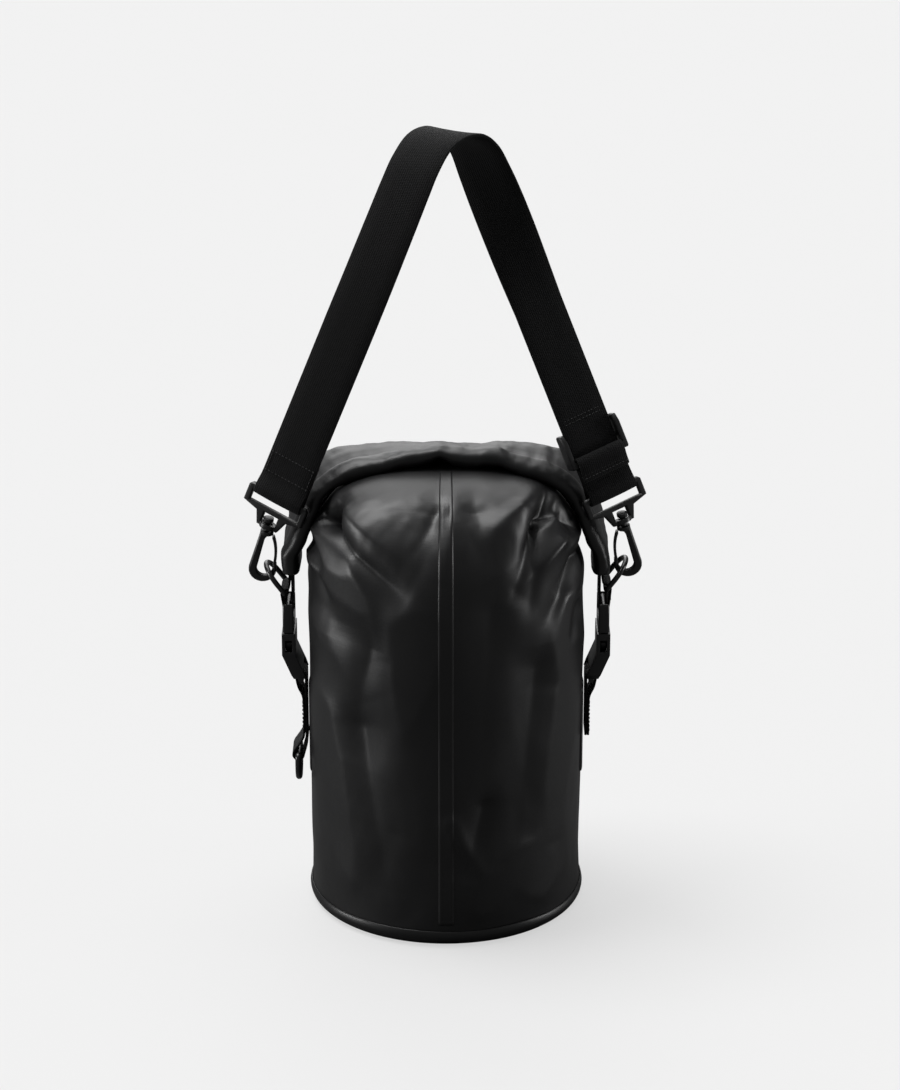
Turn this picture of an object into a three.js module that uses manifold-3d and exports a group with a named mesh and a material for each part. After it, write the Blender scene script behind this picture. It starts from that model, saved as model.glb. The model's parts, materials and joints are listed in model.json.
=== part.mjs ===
// A roll-top rope storage bag with side buckles and a clip-on shoulder strap.
// Millimetres, +Z up. The origin is the centre of the base's underside; the welded back seam faces -Y.

import * as THREE from 'three';
import { mergeVertices } from 'three/addons/utils/BufferGeometryUtils.js';
import Module from 'manifold-3d';

const wasm = await Module();
wasm.setup();

// Driving dimensions
const GAP = 0.35;              // clearance between pieces that touch

const BODY_RADIUS = 104;       // outside of the coated fabric tube
const BODY_WALL = 1.2;
const BODY_FOOT = 9.8;         // lower edge of the tube, inside the base cup
const SHOULDER_HEIGHT = 235;   // where the round tube starts to close towards the mouth
const MOUTH_HALF_GAP = 6.5;
const DOME_POWER = 0.65;       // below 1 makes the shoulder full and boxy

const BASE_RADIUS = 106.2;
const BASE_RIM_HEIGHT = 12.5;
const BASE_SHEET = 2.2;
const BASE_CORNER = 8.5;

const ROLL_THICKNESS = 13;
const ROLL_FRONT_Y = -8.5;     // middle of the front round edge
const ROLL_BACK_Y = 30;
const ROLL_END_Z = 266;
const ROLL_STATIONS = 28;
const STIFFENER_WIDTH = 30;
const STIFFENER_THICKNESS = 1.2;
const POCKET_ROOM = 1.6;       // clearance round the stiffener inside the roll

const SIDE_WEBBING = 25;
const SIDE_PLY = 1.9;
const SIDE_STRAP_X = 106.1;    // inner face of the sewn side webbing
const SIDE_STRAP_LOW = 134;
const SIDE_STRAP_HIGH = 166;

const BUCKLE_X = 119.5;
const BUCKLE_HALF_WIDTH = 17.5;
const FEMALE_HALF_THICKNESS = 5.1;
const FEMALE_TOP = 219.3;
const FEMALE_CAVITY_FLOOR = 203.2;
const FEMALE_BAR_Z = 180.7;
const FEMALE_NECK_Z = FEMALE_CAVITY_FLOOR - 1.2;
const FEMALE_LEAN = 9;         // how far the lower end bends in towards the bag
const MALE_BAR_Z = 239.3;
const PRONG_ROOT_Z = 219.6;

const RING_WIRE = 2;           // wire radius of the upper D-rings
const RING_HALF_WIDTH = 15;    // to the middle of the wire
const RING_DEPTH = 25;
const RING_TILT = THREE.MathUtils.degToRad(37);
const RING_BAR_X = 121;
const LOWER_RING_WIRE = 2.5;
const LOWER_RING_DEPTH = 21.5;
const LOWER_RING_BAR = new THREE.Vector3(-113.5, 0, 117.5);

const STRAP_WIDTH = 40;
const STRAP_PLY = 2.4;
const FRAME_HALF_WIDTH = 25;
const FRAME_THICKNESS = 5;
const HOOK_THICKNESS = 5.6;
const LEG_TWIST = THREE.MathUtils.degToRad(22);

const SLIDER_LOW = 50.5;
const SLIDER_HIGH = 77.5;
const SLIDER_HALF_WIDTH = 24.4;

const SIDES = [
  { name: 'left', sign: -1, ringBarZ: 250 },
  { name: 'right', sign: 1, ringBarZ: 254 },
];

// Colours and finishes
const COATED_FABRIC = { color: 0x131314, roughness: 0.5, metalness: 0 };
const WEBBING = { color: 0x0d0d0e, roughness: 0.9, metalness: 0 };
const ACETAL = { color: 0x101011, roughness: 0.42, metalness: 0 };
const STIFF_SHEET = { color: 0x2a2a2c, roughness: 0.6, metalness: 0 };

const X = new THREE.Vector3(1, 0, 0);
const Y = new THREE.Vector3(0, 1, 0);
const Z = new THREE.Vector3(0, 0, 1);

// Geometry helpers

function point(x, y, z) {
  return new THREE.Vector3(x, y, z);
}

function signedVolume(geometry) {
  const position = geometry.attributes.position;
  const index = geometry.index;
  const a = point(0, 0, 0);
  const b = point(0, 0, 0);
  const c = point(0, 0, 0);
  let volume = 0;
  for (let i = 0; i < index.count; i += 3) {
    a.fromBufferAttribute(position, index.getX(i));
    b.fromBufferAttribute(position, index.getX(i + 1));
    c.fromBufferAttribute(position, index.getX(i + 2));
    volume += a.dot(b.cross(c)) / 6;
  }
  return volume;
}

// One merged, position-only surface whose faces point out.
function plain(geometry) {
  geometry.deleteAttribute('normal');
  geometry.deleteAttribute('uv');
  const merged = mergeVertices(geometry, 1e-4);
  if (signedVolume(merged) < 0) {
    const index = merged.index;
    for (let i = 0; i < index.count; i += 3) {
      const second = index.getX(i + 1);
      index.setX(i + 1, index.getX(i + 2));
      index.setX(i + 2, second);
    }
  }
  return merged;
}

// A surface through rings of points. It is capped at both ends, or closed on itself.
function loft(rings, endless = false) {
  const count = rings[0].length;
  const spans = endless ? rings.length : rings.length - 1;
  const faces = [];
  for (let i = 0; i < spans; i += 1) {
    const here = i * count;
    const next = ((i + 1) % rings.length) * count;
    for (let j = 0; j < count; j += 1) {
      const k = (j + 1) % count;
      faces.push(here + j, here + k, next + k, here + j, next + k, next + j);
    }
  }
  if (!endless) {
    const last = (rings.length - 1) * count;
    for (let j = 1; j < count - 1; j += 1) {
      faces.push(0, j + 1, j, last, last + j, last + j + 1);
    }
  }
  const geometry = new THREE.BufferGeometry().setFromPoints(rings.flat());
  geometry.setIndex(faces);
  return plain(geometry);
}

// A sheet with thickness, made of an outer and an inner set of rings joined at both ends.
function loftShell(outer, inner) {
  return loft([...outer, ...inner.slice().reverse()], true);
}

function extrude(shape, depth, bevel, basis) {
  const options = { depth: depth - 2 * bevel, steps: 1, curveSegments: 6, bevelEnabled: bevel > 0 };
  if (bevel > 0) {
    Object.assign(options, { bevelThickness: bevel, bevelSize: bevel, bevelOffset: -bevel, bevelSegments: 1 });
  }
  const geometry = new THREE.ExtrudeGeometry(shape, options);
  geometry.translate(0, 0, bevel - depth / 2);
  geometry.applyMatrix4(basis);
  return plain(geometry);
}

// The shape is drawn in X and Z, and its thickness runs along Y.
function extrudeAlongY(shape, depth, bevel = 0) {
  return extrude(shape, depth, bevel, new THREE.Matrix4().makeBasis(X, Z, point(0, -1, 0)));
}

// The shape is drawn in Y and Z, and its thickness runs along X.
function extrudeAlongX(shape, depth, bevel = 0) {
  return extrude(shape, depth, bevel, new THREE.Matrix4().makeBasis(Y, Z, X));
}

function polygon(corners) {
  return new THREE.Shape(corners.map(([a, b]) => new THREE.Vector2(a, b)));
}

function rectangle(low, high) {
  return polygon([low, [high[0], low[1]], high, [low[0], high[1]]]);
}

function box(low, high) {
  const size = high.clone().sub(low);
  const geometry = new THREE.BoxGeometry(size.x, size.y, size.z);
  const middle = low.clone().add(high).multiplyScalar(0.5);
  geometry.translate(middle.x, middle.y, middle.z);
  return plain(geometry);
}

// A cylinder along Z.
function post(radius, low, high, segments = 20) {
  const geometry = new THREE.CylinderGeometry(radius, radius, high - low, segments);
  geometry.rotateX(Math.PI / 2);
  geometry.translate(0, 0, (low + high) / 2);
  return plain(geometry);
}

// A bar along Y.
function crossBar(radius, halfLength, x, z) {
  const geometry = new THREE.CylinderGeometry(radius, radius, 2 * halfLength, 16);
  geometry.translate(x, 0, z);
  return plain(geometry);
}

function toSolid(geometry) {
  const mesh = new wasm.Mesh({
    numProp: 3,
    vertProperties: new Float32Array(geometry.attributes.position.array),
    triVerts: new Uint32Array(geometry.index.array),
  });
  return new wasm.Manifold(mesh);
}

function toGeometry(solid) {
  const mesh = solid.getMesh();
  const geometry = new THREE.BufferGeometry();
  geometry.setAttribute('position', new THREE.BufferAttribute(new Float32Array(mesh.vertProperties), 3));
  geometry.setIndex(new THREE.BufferAttribute(new Uint32Array(mesh.triVerts), 1));
  return plain(geometry);
}

function join(...geometries) {
  return toGeometry(geometries.map(toSolid).reduce((whole, next) => whole.add(next)));
}

function cut(geometry, ...tools) {
  return toGeometry(tools.map(toSolid).reduce((whole, tool) => whole.subtract(tool), toSolid(geometry)));
}

function mirrored(geometry, sign) {
  if (sign < 0) {
    return geometry;
  }
  const copy = geometry.clone();
  copy.scale(-1, 1, 1);
  return plain(copy);
}

function piece(name, geometry, finish) {
  const mesh = new THREE.Mesh(geometry, new THREE.MeshStandardMaterial(finish));
  mesh.name = name;
  return mesh;
}

// Base and body

function basePanel() {
  const inner = BASE_RADIUS - 1.5;
  const profile = new THREE.Path();
  profile.moveTo(0, 0);
  profile.lineTo(BASE_RADIUS - BASE_CORNER, 0);
  profile.absarc(BASE_RADIUS - BASE_CORNER, BASE_CORNER, BASE_CORNER, -Math.PI / 2, 0, false);
  profile.lineTo(BASE_RADIUS, BASE_RIM_HEIGHT);
  profile.lineTo(inner, BASE_RIM_HEIGHT);
  profile.lineTo(inner, BASE_CORNER);
  const innerCorner = BASE_CORNER - BASE_SHEET;
  profile.absarc(inner - innerCorner, BASE_CORNER, innerCorner, 0, -Math.PI / 2, true);
  profile.lineTo(0, BASE_SHEET);
  profile.closePath();
  const geometry = new THREE.LatheGeometry(profile.getPoints(4), 48);
  geometry.rotateX(Math.PI / 2);
  return piece('base_panel', plain(geometry), COATED_FABRIC);
}

// Half of the mouth's arch, from the middle of the bag to one side, under the roll.
const mouthArch = new THREE.CatmullRomCurve3([
  point(0, 0, 338.5),
  point(30, 0, 337.5),
  point(57, 0, 333),
  point(77, 0, 322),
  point(88, 0, 308),
  point(95, 0, 295),
]);

// A point of the body at an angle round it: rise 0 is the shoulder and rise 1 the mouth.
function bodyPoint(angle, rise, inset) {
  const radius = BODY_RADIUS - inset;
  const round = point(radius * Math.cos(angle), radius * Math.sin(angle), SHOULDER_HEIGHT);
  const fold = Math.abs(Math.asin(Math.cos(angle))) / (Math.PI / 2);
  const mouth = mouthArch.getPointAt(fold);
  mouth.x = Math.sign(round.x) * Math.max(0, mouth.x - inset);
  mouth.y = Math.sign(round.y) * (MOUTH_HALF_GAP - inset) * Math.sqrt(Math.max(0, 1 - fold ** 6));
  const turn = rise * Math.PI / 2;
  const spread = Math.cos(turn) ** DOME_POWER;
  const lift = Math.sin(turn) ** DOME_POWER;
  return point(
    mouth.x + (round.x - mouth.x) * spread,
    mouth.y + (round.y - mouth.y) * spread,
    SHOULDER_HEIGHT + (mouth.z - SHOULDER_HEIGHT) * lift,
  );
}

const RISES = [0, 0.12, 0.25, 0.4, 0.55, 0.72, 0.88, 1];

function bodyLine(angle, inset) {
  const radius = BODY_RADIUS - inset;
  const straight = [BODY_FOOT, 80, 160].map(
    (z) => point(radius * Math.cos(angle), radius * Math.sin(angle), z),
  );
  return [...straight, ...RISES.map((rise) => bodyPoint(angle, rise, inset))];
}

function bagBody() {
  const segments = 48;
  const rings = [];
  for (let i = 0; i < segments; i += 1) {
    const angle = (i / segments) * 2 * Math.PI;
    rings.push([...bodyLine(angle, 0), ...bodyLine(angle, BODY_WALL).reverse()]);
  }
  return piece('bag_body', loft(rings, true), COATED_FABRIC);
}

// A welded strip that lies on the outside of the body, between two angles.
function bodyStrip(name, angles, levels, lift, thickness) {
  const surface = (angle, z, out) => {
    const radius = BODY_RADIUS + out;
    return point(radius * Math.cos(angle), radius * Math.sin(angle), z);
  };
  const rings = levels.map((z) => [
    ...angles.map((angle) => surface(angle, z, lift)),
    ...angles.slice().reverse().map((angle) => surface(angle, z, lift + thickness)),
  ]);
  return piece(name, loft(rings), COATED_FABRIC);
}

function backSeamTape() {
  const halfAngle = 5.5 / BODY_RADIUS;
  const angles = [-1, 0, 1].map((step) => -Math.PI / 2 + step * halfAngle);
  return bodyStrip('back_seam_tape', angles, [BASE_RIM_HEIGHT + 1, 120, SHOULDER_HEIGHT - 2], GAP, 0.7);
}

// Roll closure

// Half outlines of the roll's front and back edges, from the middle to one end.
const ROLL_FRONT = [[0, 358], [32, 356], [60, 349], [84, 338], [100, 317], [111, 292], [116.5, 280], [117, ROLL_END_Z]];
const ROLL_BACK = [[0, 350], [32, 350], [64, 348], [92, 338], [109, 315], [116, 292], [116.5, 280], [117, ROLL_END_Z]];

function rollCurve(half, y) {
  const left = half.slice(1).reverse().map(([x, z]) => point(-x, y, z));
  const right = half.map(([x, z]) => point(x, y, z));
  return new THREE.CatmullRomCurve3([...left, ...right]);
}

const rollFront = rollCurve(ROLL_FRONT, ROLL_FRONT_Y);
const rollBack = rollCurve(ROLL_BACK, ROLL_BACK_Y);

// A flat section with round edges across the roll at one station, grown or shrunk to a size.
function rollSection(station, halfDepth, halfThickness) {
  const t = station / ROLL_STATIONS;
  const front = rollFront.getPointAt(t);
  const back = rollBack.getPointAt(t);
  const middle = front.clone().add(back).multiplyScalar(0.5);
  const along = rollFront.getTangentAt(t).add(rollBack.getTangentAt(t)).normalize();
  const depth = back.sub(front).normalize();
  const out = along.clone().cross(depth).normalize();
  const straight = halfDepth - halfThickness;
  const ring = [];
  for (const [side, start] of [[1, -90], [-1, 90]]) {
    for (let i = 0; i < 6; i += 1) {
      const turn = THREE.MathUtils.degToRad(start + i * 36);
      ring.push(middle.clone()
        .addScaledVector(depth, side * straight + halfThickness * Math.cos(turn))
        .addScaledVector(out, halfThickness * Math.sin(turn)));
    }
  }
  return ring;
}

function rollSections(first, last, halfDepth, halfThickness) {
  const rings = [];
  for (let station = first; station <= last; station += 1) {
    rings.push(rollSection(station, halfDepth, halfThickness));
  }
  return rings;
}

function rollClosure() {
  const halfDepth = (ROLL_BACK_Y - ROLL_FRONT_Y + ROLL_THICKNESS) / 2;
  const outer = rollSections(0, ROLL_STATIONS, halfDepth, ROLL_THICKNESS / 2);
  const pocket = rollSections(0, ROLL_STATIONS, STIFFENER_WIDTH / 2 + POCKET_ROOM, STIFFENER_THICKNESS / 2 + POCKET_ROOM);
  return piece('roll_closure', loftShell(outer, pocket), COATED_FABRIC);
}

function rollStiffener() {
  const rings = rollSections(2, ROLL_STATIONS - 2, STIFFENER_WIDTH / 2, STIFFENER_THICKNESS / 2);
  return piece('roll_stiffener', loft(rings), STIFF_SHEET);
}

// The tab is drawn for the left side, with an eye for the D-ring and one for the buckle.
function endTab(side) {
  const x = -BUCKLE_X;
  const outer = x - 5.4;
  const inner = x + 4.2;
  const stripOuter = -118.6;
  const stripInner = -115.4;
  const ringZ = side.ringBarZ;
  const foot = MALE_BAR_Z - 5;
  const shape = polygon([
    [stripOuter, ROLL_END_Z - 0.8], [stripOuter, ringZ + 6.5], [outer, ringZ + 3.4], [outer, foot + 3],
    [outer + 3, foot], [inner - 3, foot], [inner, foot + 3], [inner, ringZ + 2],
    [stripInner, ringZ + 6.5], [stripInner, ROLL_END_Z - 0.8],
  ]);
  const ringEye = new THREE.Path();
  ringEye.absarc(-RING_BAR_X, ringZ, RING_WIRE + 0.5, 0, 2 * Math.PI, false);
  const buckleEye = new THREE.Path();
  buckleEye.absarc(x, MALE_BAR_Z, 2.7, 0, 2 * Math.PI, false);
  shape.holes.push(ringEye, buckleEye);
  return piece(`end_tab_${side.name}`, mirrored(extrudeAlongY(shape, SIDE_WEBBING), side.sign), WEBBING);
}

// D-rings: a straight bar along Y, two arms and a round bow, at the end of a depth direction.
function dRing(name, bar, direction, depth, wire) {
  const bowRadius = RING_HALF_WIDTH;
  const straight = depth - bowRadius;
  const outline = [];
  const corner = 3;
  const place = (y, d) => bar.clone().addScaledVector(Y, y).addScaledVector(direction, d);
  for (let i = 0; i <= 3; i += 1) {
    const turn = (i / 3) * Math.PI / 2;
    outline.push(place(bowRadius - corner + corner * Math.sin(turn), corner - corner * Math.cos(turn)));
  }
  for (let i = 0; i <= 10; i += 1) {
    const turn = (i / 10) * Math.PI;
    outline.push(place(bowRadius * Math.cos(turn), straight + bowRadius * Math.sin(turn)));
  }
  for (let i = 0; i <= 3; i += 1) {
    const turn = (i / 3) * Math.PI / 2;
    outline.push(place(-bowRadius + corner - corner * Math.cos(turn), corner - corner * Math.sin(turn)));
  }
  const flat = Y.clone().cross(direction).normalize();
  const rings = outline.map((here, i) => {
    const before = outline[(i + outline.length - 1) % outline.length];
    const after = outline[(i + 1) % outline.length];
    const along = after.clone().sub(before).normalize();
    const across = along.clone().cross(flat).normalize();
    const ring = [];
    for (let j = 0; j < 10; j += 1) {
      const turn = (j / 10) * 2 * Math.PI;
      ring.push(here.clone()
        .addScaledVector(across, wire * Math.cos(turn))
        .addScaledVector(flat, wire * Math.sin(turn)));
    }
    return ring;
  });
  return piece(name, loft(rings, true), ACETAL);
}

function upperRing(side) {
  const bar = point(side.sign * RING_BAR_X, 0, side.ringBarZ);
  const direction = point(side.sign * Math.sin(RING_TILT), 0, Math.cos(RING_TILT));
  return dRing(`ring_${side.name}`, bar, direction, RING_DEPTH, RING_WIRE);
}

function lowerRing() {
  return dRing('lower_ring_left', LOWER_RING_BAR, point(0, 0, -1), LOWER_RING_DEPTH, LOWER_RING_WIRE);
}

// Side straps, drawn for the left side

function sideStrap(side) {
  const inner = -SIDE_STRAP_X;
  const outer = inner - 2 * SIDE_PLY;
  const barX = -(BUCKLE_X - FEMALE_LEAN);
  const eye = 2.7;
  const loop = eye + SIDE_PLY;
  const shape = new THREE.Shape();
  shape.moveTo(inner, SIDE_STRAP_LOW);
  shape.lineTo(inner, SIDE_STRAP_HIGH);
  shape.lineTo(barX + loop, FEMALE_BAR_Z);
  shape.absarc(barX, FEMALE_BAR_Z, loop, 0, Math.PI, false);
  shape.lineTo(outer, SIDE_STRAP_HIGH);
  shape.lineTo(outer, SIDE_STRAP_LOW);
  const hole = new THREE.Path();
  hole.moveTo((inner + outer) / 2, SIDE_STRAP_HIGH + 1.5);
  hole.lineTo(barX + eye, FEMALE_BAR_Z);
  hole.absarc(barX, FEMALE_BAR_Z, eye, 0, Math.PI, false);
  hole.closePath();
  shape.holes.push(hole);
  if (side.sign < 0) {
    addLowerLoop(shape, inner, outer);
  }
  shape.closePath();
  const geometry = extrudeAlongY(shape, SIDE_WEBBING);
  return piece(`side_strap_${side.name}`, mirrored(geometry, side.sign), WEBBING);
}

// The left webbing runs on below its stitching, round the bar of a hanging D-ring.
function addLowerLoop(shape, inner, outer) {
  const bar = LOWER_RING_BAR;
  const eye = LOWER_RING_WIRE + 0.5;
  const loop = eye + SIDE_PLY;
  shape.absarc(bar.x, bar.z, loop, Math.PI * 0.93, Math.PI * 2.03, false);
  const hole = new THREE.Path();
  hole.moveTo((inner + outer) / 2, SIDE_STRAP_LOW - 3);
  hole.lineTo(bar.x - eye, bar.z);
  hole.absarc(bar.x, bar.z, eye, Math.PI, 2 * Math.PI, false);
  hole.closePath();
  shape.holes.push(hole);
}

// Side-release buckles, drawn for the left side

// The lower end of the socket leans in towards the bag.
function leanInwards(geometry) {
  const position = geometry.attributes.position;
  const length = FEMALE_NECK_Z - FEMALE_BAR_Z;
  for (let i = 0; i < position.count; i += 1) {
    const drop = (FEMALE_NECK_Z - position.getZ(i)) / length;
    position.setX(i, position.getX(i) + FEMALE_LEAN * drop);
  }
  return geometry;
}

function buckleFemale(side) {
  const x = -BUCKLE_X;
  const t = FEMALE_HALF_THICKNESS;
  const w = BUCKLE_HALF_WIDTH;
  const low = FEMALE_BAR_Z + 1;
  const neck = FEMALE_NECK_Z;
  const shell = box(point(x - t, -w, neck), point(x + t, w, FEMALE_TOP));
  const cavity = box(point(x - 3, -14.2, FEMALE_CAVITY_FLOOR), point(x + 3, 14.2, FEMALE_TOP + 1));
  const windows = box(point(x - 2.6, -w - 1, 204.5), point(x + 2.6, w + 1, 214));
  const socket = cut(shell, cavity, windows);
  const outline = polygon([[-w + 2.5, low], [-w, low + 4], [-w, neck], [w, neck], [w, low + 4], [w - 2.5, low]]);
  const tail = extrudeAlongX(outline, 2 * t);
  tail.translate(x, 0, 0);
  const slot = box(point(x - t - 1, -13.4, low - 1), point(x + t + 1, 13.4, FEMALE_BAR_Z + 8.5));
  const leaning = leanInwards(cut(tail, slot));
  const bar = crossBar(2.2, 15, x + FEMALE_LEAN, FEMALE_BAR_Z);
  return piece(`buckle_female_${side.name}`, mirrored(join(socket, leaning, bar), side.sign), ACETAL);
}

function buckleMale(side) {
  const x = -BUCKLE_X;
  const w = BUCKLE_HALF_WIDTH - 0.6;
  const top = MALE_BAR_Z + 3;
  const outline = polygon([
    [-w, 220], [-w, 230], [-w + 1.5, top - 1], [-w + 2.5, top], [w - 2.5, top], [w - 1.5, top - 1], [w, 230], [w, 220],
  ]);
  const body = extrudeAlongX(outline, 8.4, 0.8);
  body.translate(x, 0, 0);
  const opened = cut(body, box(point(x - 6, -13.4, 229.5), point(x + 6, 13.4, top + 1)));
  const bar = crossBar(2.1, 14, x, MALE_BAR_Z);
  const tongue = box(point(x - 2, -3.2, FEMALE_CAVITY_FLOOR + 1), point(x + 2, 3.2, 221));
  return piece(`buckle_male_${side.name}`, mirrored(join(opened, bar, tongue), side.sign), ACETAL);
}

// A springy prong with a barb that stands in the socket's side window.
function prong(side, name, face) {
  const x = side.sign * BUCKLE_X;
  const root = PRONG_ROOT_Z;
  const tip = FEMALE_CAVITY_FLOOR + 0.9;
  const corners = [
    [8.6, root], [8.6, 211], [9.4, 206], [11.4, tip], [13.2, 206.5], [13.8, 210.5], [12.2, 212.5], [11.9, root],
  ];
  const geometry = extrudeAlongX(polygon(corners.map(([y, z]) => [y * face, z])), 4.6);
  geometry.translate(x, 0, 0);
  return piece(`prong_${side.name}_${name}`, geometry, ACETAL);
}

// Shoulder strap hardware. Each leg has its own frame: X across the webbing, Z up along the leg.

const LEGS = {
  left: { origin: point(-133.8, -11.5, 305), along: point(0.37, -0.05, 0.928).normalize(), twist: -LEG_TWIST },
  right: { origin: point(132.6, -11.5, 309), along: point(-0.37, 0.154, 0.916).normalize(), twist: LEG_TWIST },
};

function legBasis(leg) {
  const back = leg.along.clone().cross(X).normalize();
  const across = back.clone().cross(leg.along).normalize();
  const width = across.multiplyScalar(Math.cos(leg.twist)).addScaledVector(back, Math.sin(leg.twist));
  const depth = leg.along.clone().cross(width);
  return { width, depth, matrix: new THREE.Matrix4().makeBasis(width, depth, leg.along) };
}

function legGroup(leg) {
  const group = new THREE.Group();
  group.position.copy(leg.origin);
  group.quaternion.setFromRotationMatrix(legBasis(leg).matrix);
  return group;
}

const HOOK_LEAN = 0.134;
const HOOK_FORWARD = -0.13;

function hookGroup(side) {
  const group = new THREE.Group();
  const along = point(-side.sign * HOOK_LEAN, HOOK_FORWARD, 1).normalize();
  const depth = along.clone().cross(X).normalize();
  const width = depth.clone().cross(along);
  group.position.copy(LEGS[side.name].origin);
  group.quaternion.setFromRotationMatrix(new THREE.Matrix4().makeBasis(width, depth, along));
  return group;
}

// The rectangle that holds the webbing, with a cage below it for the head of the swivel.
function hookFrame(side) {
  const w = FRAME_HALF_WIDTH;
  const outline = polygon([
    [-w, 11], [-w, 24], [-w + 2, 26], [w - 2, 26], [w, 24], [w, 11], [12.5, 8], [10.5, 3], [8.5, -1.8],
    [-8.5, -1.8], [-10.5, 3], [-12.5, 8],
  ]);
  const webbingSlot = rectangle([-w + 4.4, 13], [w - 4.4, 21.5]);
  const cageWindow = rectangle([-6, 1.6], [6, 9]);
  outline.holes.push(webbingSlot, cageWindow);
  const frame = extrudeAlongY(outline, FRAME_THICKNESS, 0.8);
  const boss = post(6.4, -1.8, 1.6);
  const geometry = cut(join(frame, boss), post(3.6, -3, 2.6));
  return piece(`hook_frame_${side.name}`, geometry, ACETAL);
}

// The hook is drawn for the left side: the spine is on the outer, negative side.
function hook(side) {
  const outline = new THREE.Shape();
  outline.moveTo(-4.6, -5);
  outline.lineTo(-10.5, -36.5);
  outline.absarc(0, -36.5, 10.5, Math.PI, 2 * Math.PI, false);
  outline.lineTo(10.1, -31);
  outline.lineTo(7.3, -31);
  outline.lineTo(7.3, -36);
  outline.absarc(1.4, -36, 5.9, 0, -Math.PI, true);
  outline.lineTo(-1.2, -12);
  outline.quadraticCurveTo(-0.6, -8.4, 2.4, -7.6);
  outline.lineTo(4.6, -6.6);
  outline.lineTo(4.6, -5);
  outline.closePath();
  const body = extrudeAlongY(outline, HOOK_THICKNESS, 0.9);
  const collar = post(5, -7, -4);
  const stem = post(2.1, -5, 5);
  const head = post(4, 3.7, 6.4);
  const geometry = join(body, collar, stem, head);
  return piece(`hook_${side.name}`, mirrored(geometry, side.sign), ACETAL);
}

function hookGate(side) {
  const outline = new THREE.Shape();
  outline.moveTo(4.4, -8.2);
  outline.lineTo(6, -8);
  outline.quadraticCurveTo(10.4, -18, 9.6, -30.6);
  outline.lineTo(7.5, -30.6);
  outline.quadraticCurveTo(8.2, -18, 4.4, -9.6);
  outline.closePath();
  const geometry = extrudeAlongY(outline, 4.4);
  return piece(`hook_gate_${side.name}`, mirrored(geometry, side.sign), ACETAL);
}

// Slider: side plates, two bars behind the strap and one bar in front of it.
function strapSlider() {
  const w = SLIDER_HALF_WIDTH;
  const inside = STRAP_WIDTH / 2 + 0.5;
  const plateOutline = polygon([
    [-7, SLIDER_LOW + 1], [-6, SLIDER_LOW], [3.5, SLIDER_LOW], [4.6, SLIDER_LOW + 1.5],
    [4.6, SLIDER_HIGH - 1], [3.5, SLIDER_HIGH], [-4, SLIDER_HIGH], [-7, SLIDER_HIGH - 6],
  ]);
  const plates = [-1, 1].map((side) => {
    const plate = extrudeAlongX(plateOutline, w - inside, 0.8);
    plate.translate(side * (w + inside) / 2, 0, 0);
    return plate;
  });
  const bars = [
    box(point(-w + 1, -6.9, 51.2), point(w - 1, -3.9, 55.4)),
    box(point(-w + 1, 1.7, 60), point(w - 1, 4.3, 64)),
    box(point(-w + 1, 1.7, 73), point(w - 1, 4.3, 77)),
  ];
  return piece('strap_slider', join(...plates, ...bars), ACETAL);
}

// Webbing eye round a frame's upper bar, seen along the webbing's width.
function strapEye(plyHigh, backPly) {
  const half = STRAP_PLY / 2;
  const reach = FRAME_THICKNESS / 2 + GAP + STRAP_PLY;
  const back = half + backPly;
  const shape = polygon([
    [-reach, 20.5], [-reach + 1.6, 18.8], [reach - 1.6, 18.8], [reach, 20.5], [reach, 27], [back, 33],
    [back, plyHigh], [-half, plyHigh], [-half, 33], [-reach, 27],
  ]);
  shape.holes.push(rectangle([2.5 - reach, 21.1], [reach - 2.5, 26.5]));
  return extrudeAlongX(shape, STRAP_WIDTH);
}

// The strap rises in front on the left, folds backwards over its top and comes down behind on the right.
const STRAP_TOP = [
  point(-47, -22.5, 523), point(-37.5, -22.5, 547), point(-29.5, -21.5, 567), point(-22, -18, 584), point(-12.5, -9, 597.5),
  point(0, 2, 602.5), point(12, 12.5, 598), point(21.5, 20, 585), point(29, 23.5, 567), point(37, 24, 547), point(46.5, 22.5, 523),
];
const STRAP_SECTIONS = 34;
const LEG_STRAIGHT = 205;

function strapRibbon() {
  const left = LEGS.left;
  const right = LEGS.right;
  const legPoint = (leg, height) => leg.origin.clone().addScaledVector(leg.along, height);
  const startWidth = legBasis(left).width;
  const endWidth = legBasis(right).width;
  const topWidth = point(0.85, -0.5, -0.05).normalize();
  const curve = new THREE.CatmullRomCurve3([
    legPoint(left, LEG_STRAIGHT - 30), legPoint(left, LEG_STRAIGHT), ...STRAP_TOP,
    legPoint(right, LEG_STRAIGHT), legPoint(right, LEG_STRAIGHT - 30),
  ]);
  const section = (here, along, wish) => {
    const width = wish.clone().addScaledVector(along, -wish.dot(along)).normalize();
    const depth = along.clone().cross(width);
    return [[-1, -1], [1, -1], [1, 1], [-1, 1]].map(([a, b]) => here.clone()
      .addScaledVector(width, a * STRAP_WIDTH / 2)
      .addScaledVector(depth, b * STRAP_PLY / 2));
  };
  const down = right.along.clone().negate();
  const rings = [section(legPoint(left, 56), left.along, startWidth)];
  for (let i = 0; i <= STRAP_SECTIONS; i += 1) {
    const t = i / STRAP_SECTIONS;
    const wish = t < 0.5
      ? startWidth.clone().lerp(topWidth, 2 * t)
      : topWidth.clone().lerp(endWidth, 2 * t - 1);
    rings.push(section(curve.getPointAt(t), curve.getTangentAt(t), wish));
  }
  rings.push(section(legPoint(right, 36), down, endWidth));
  return loft(rings);
}

function placed(geometry, leg) {
  const matrix = legBasis(leg).matrix.clone().setPosition(leg.origin);
  return plain(geometry.clone().applyMatrix4(matrix));
}

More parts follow.
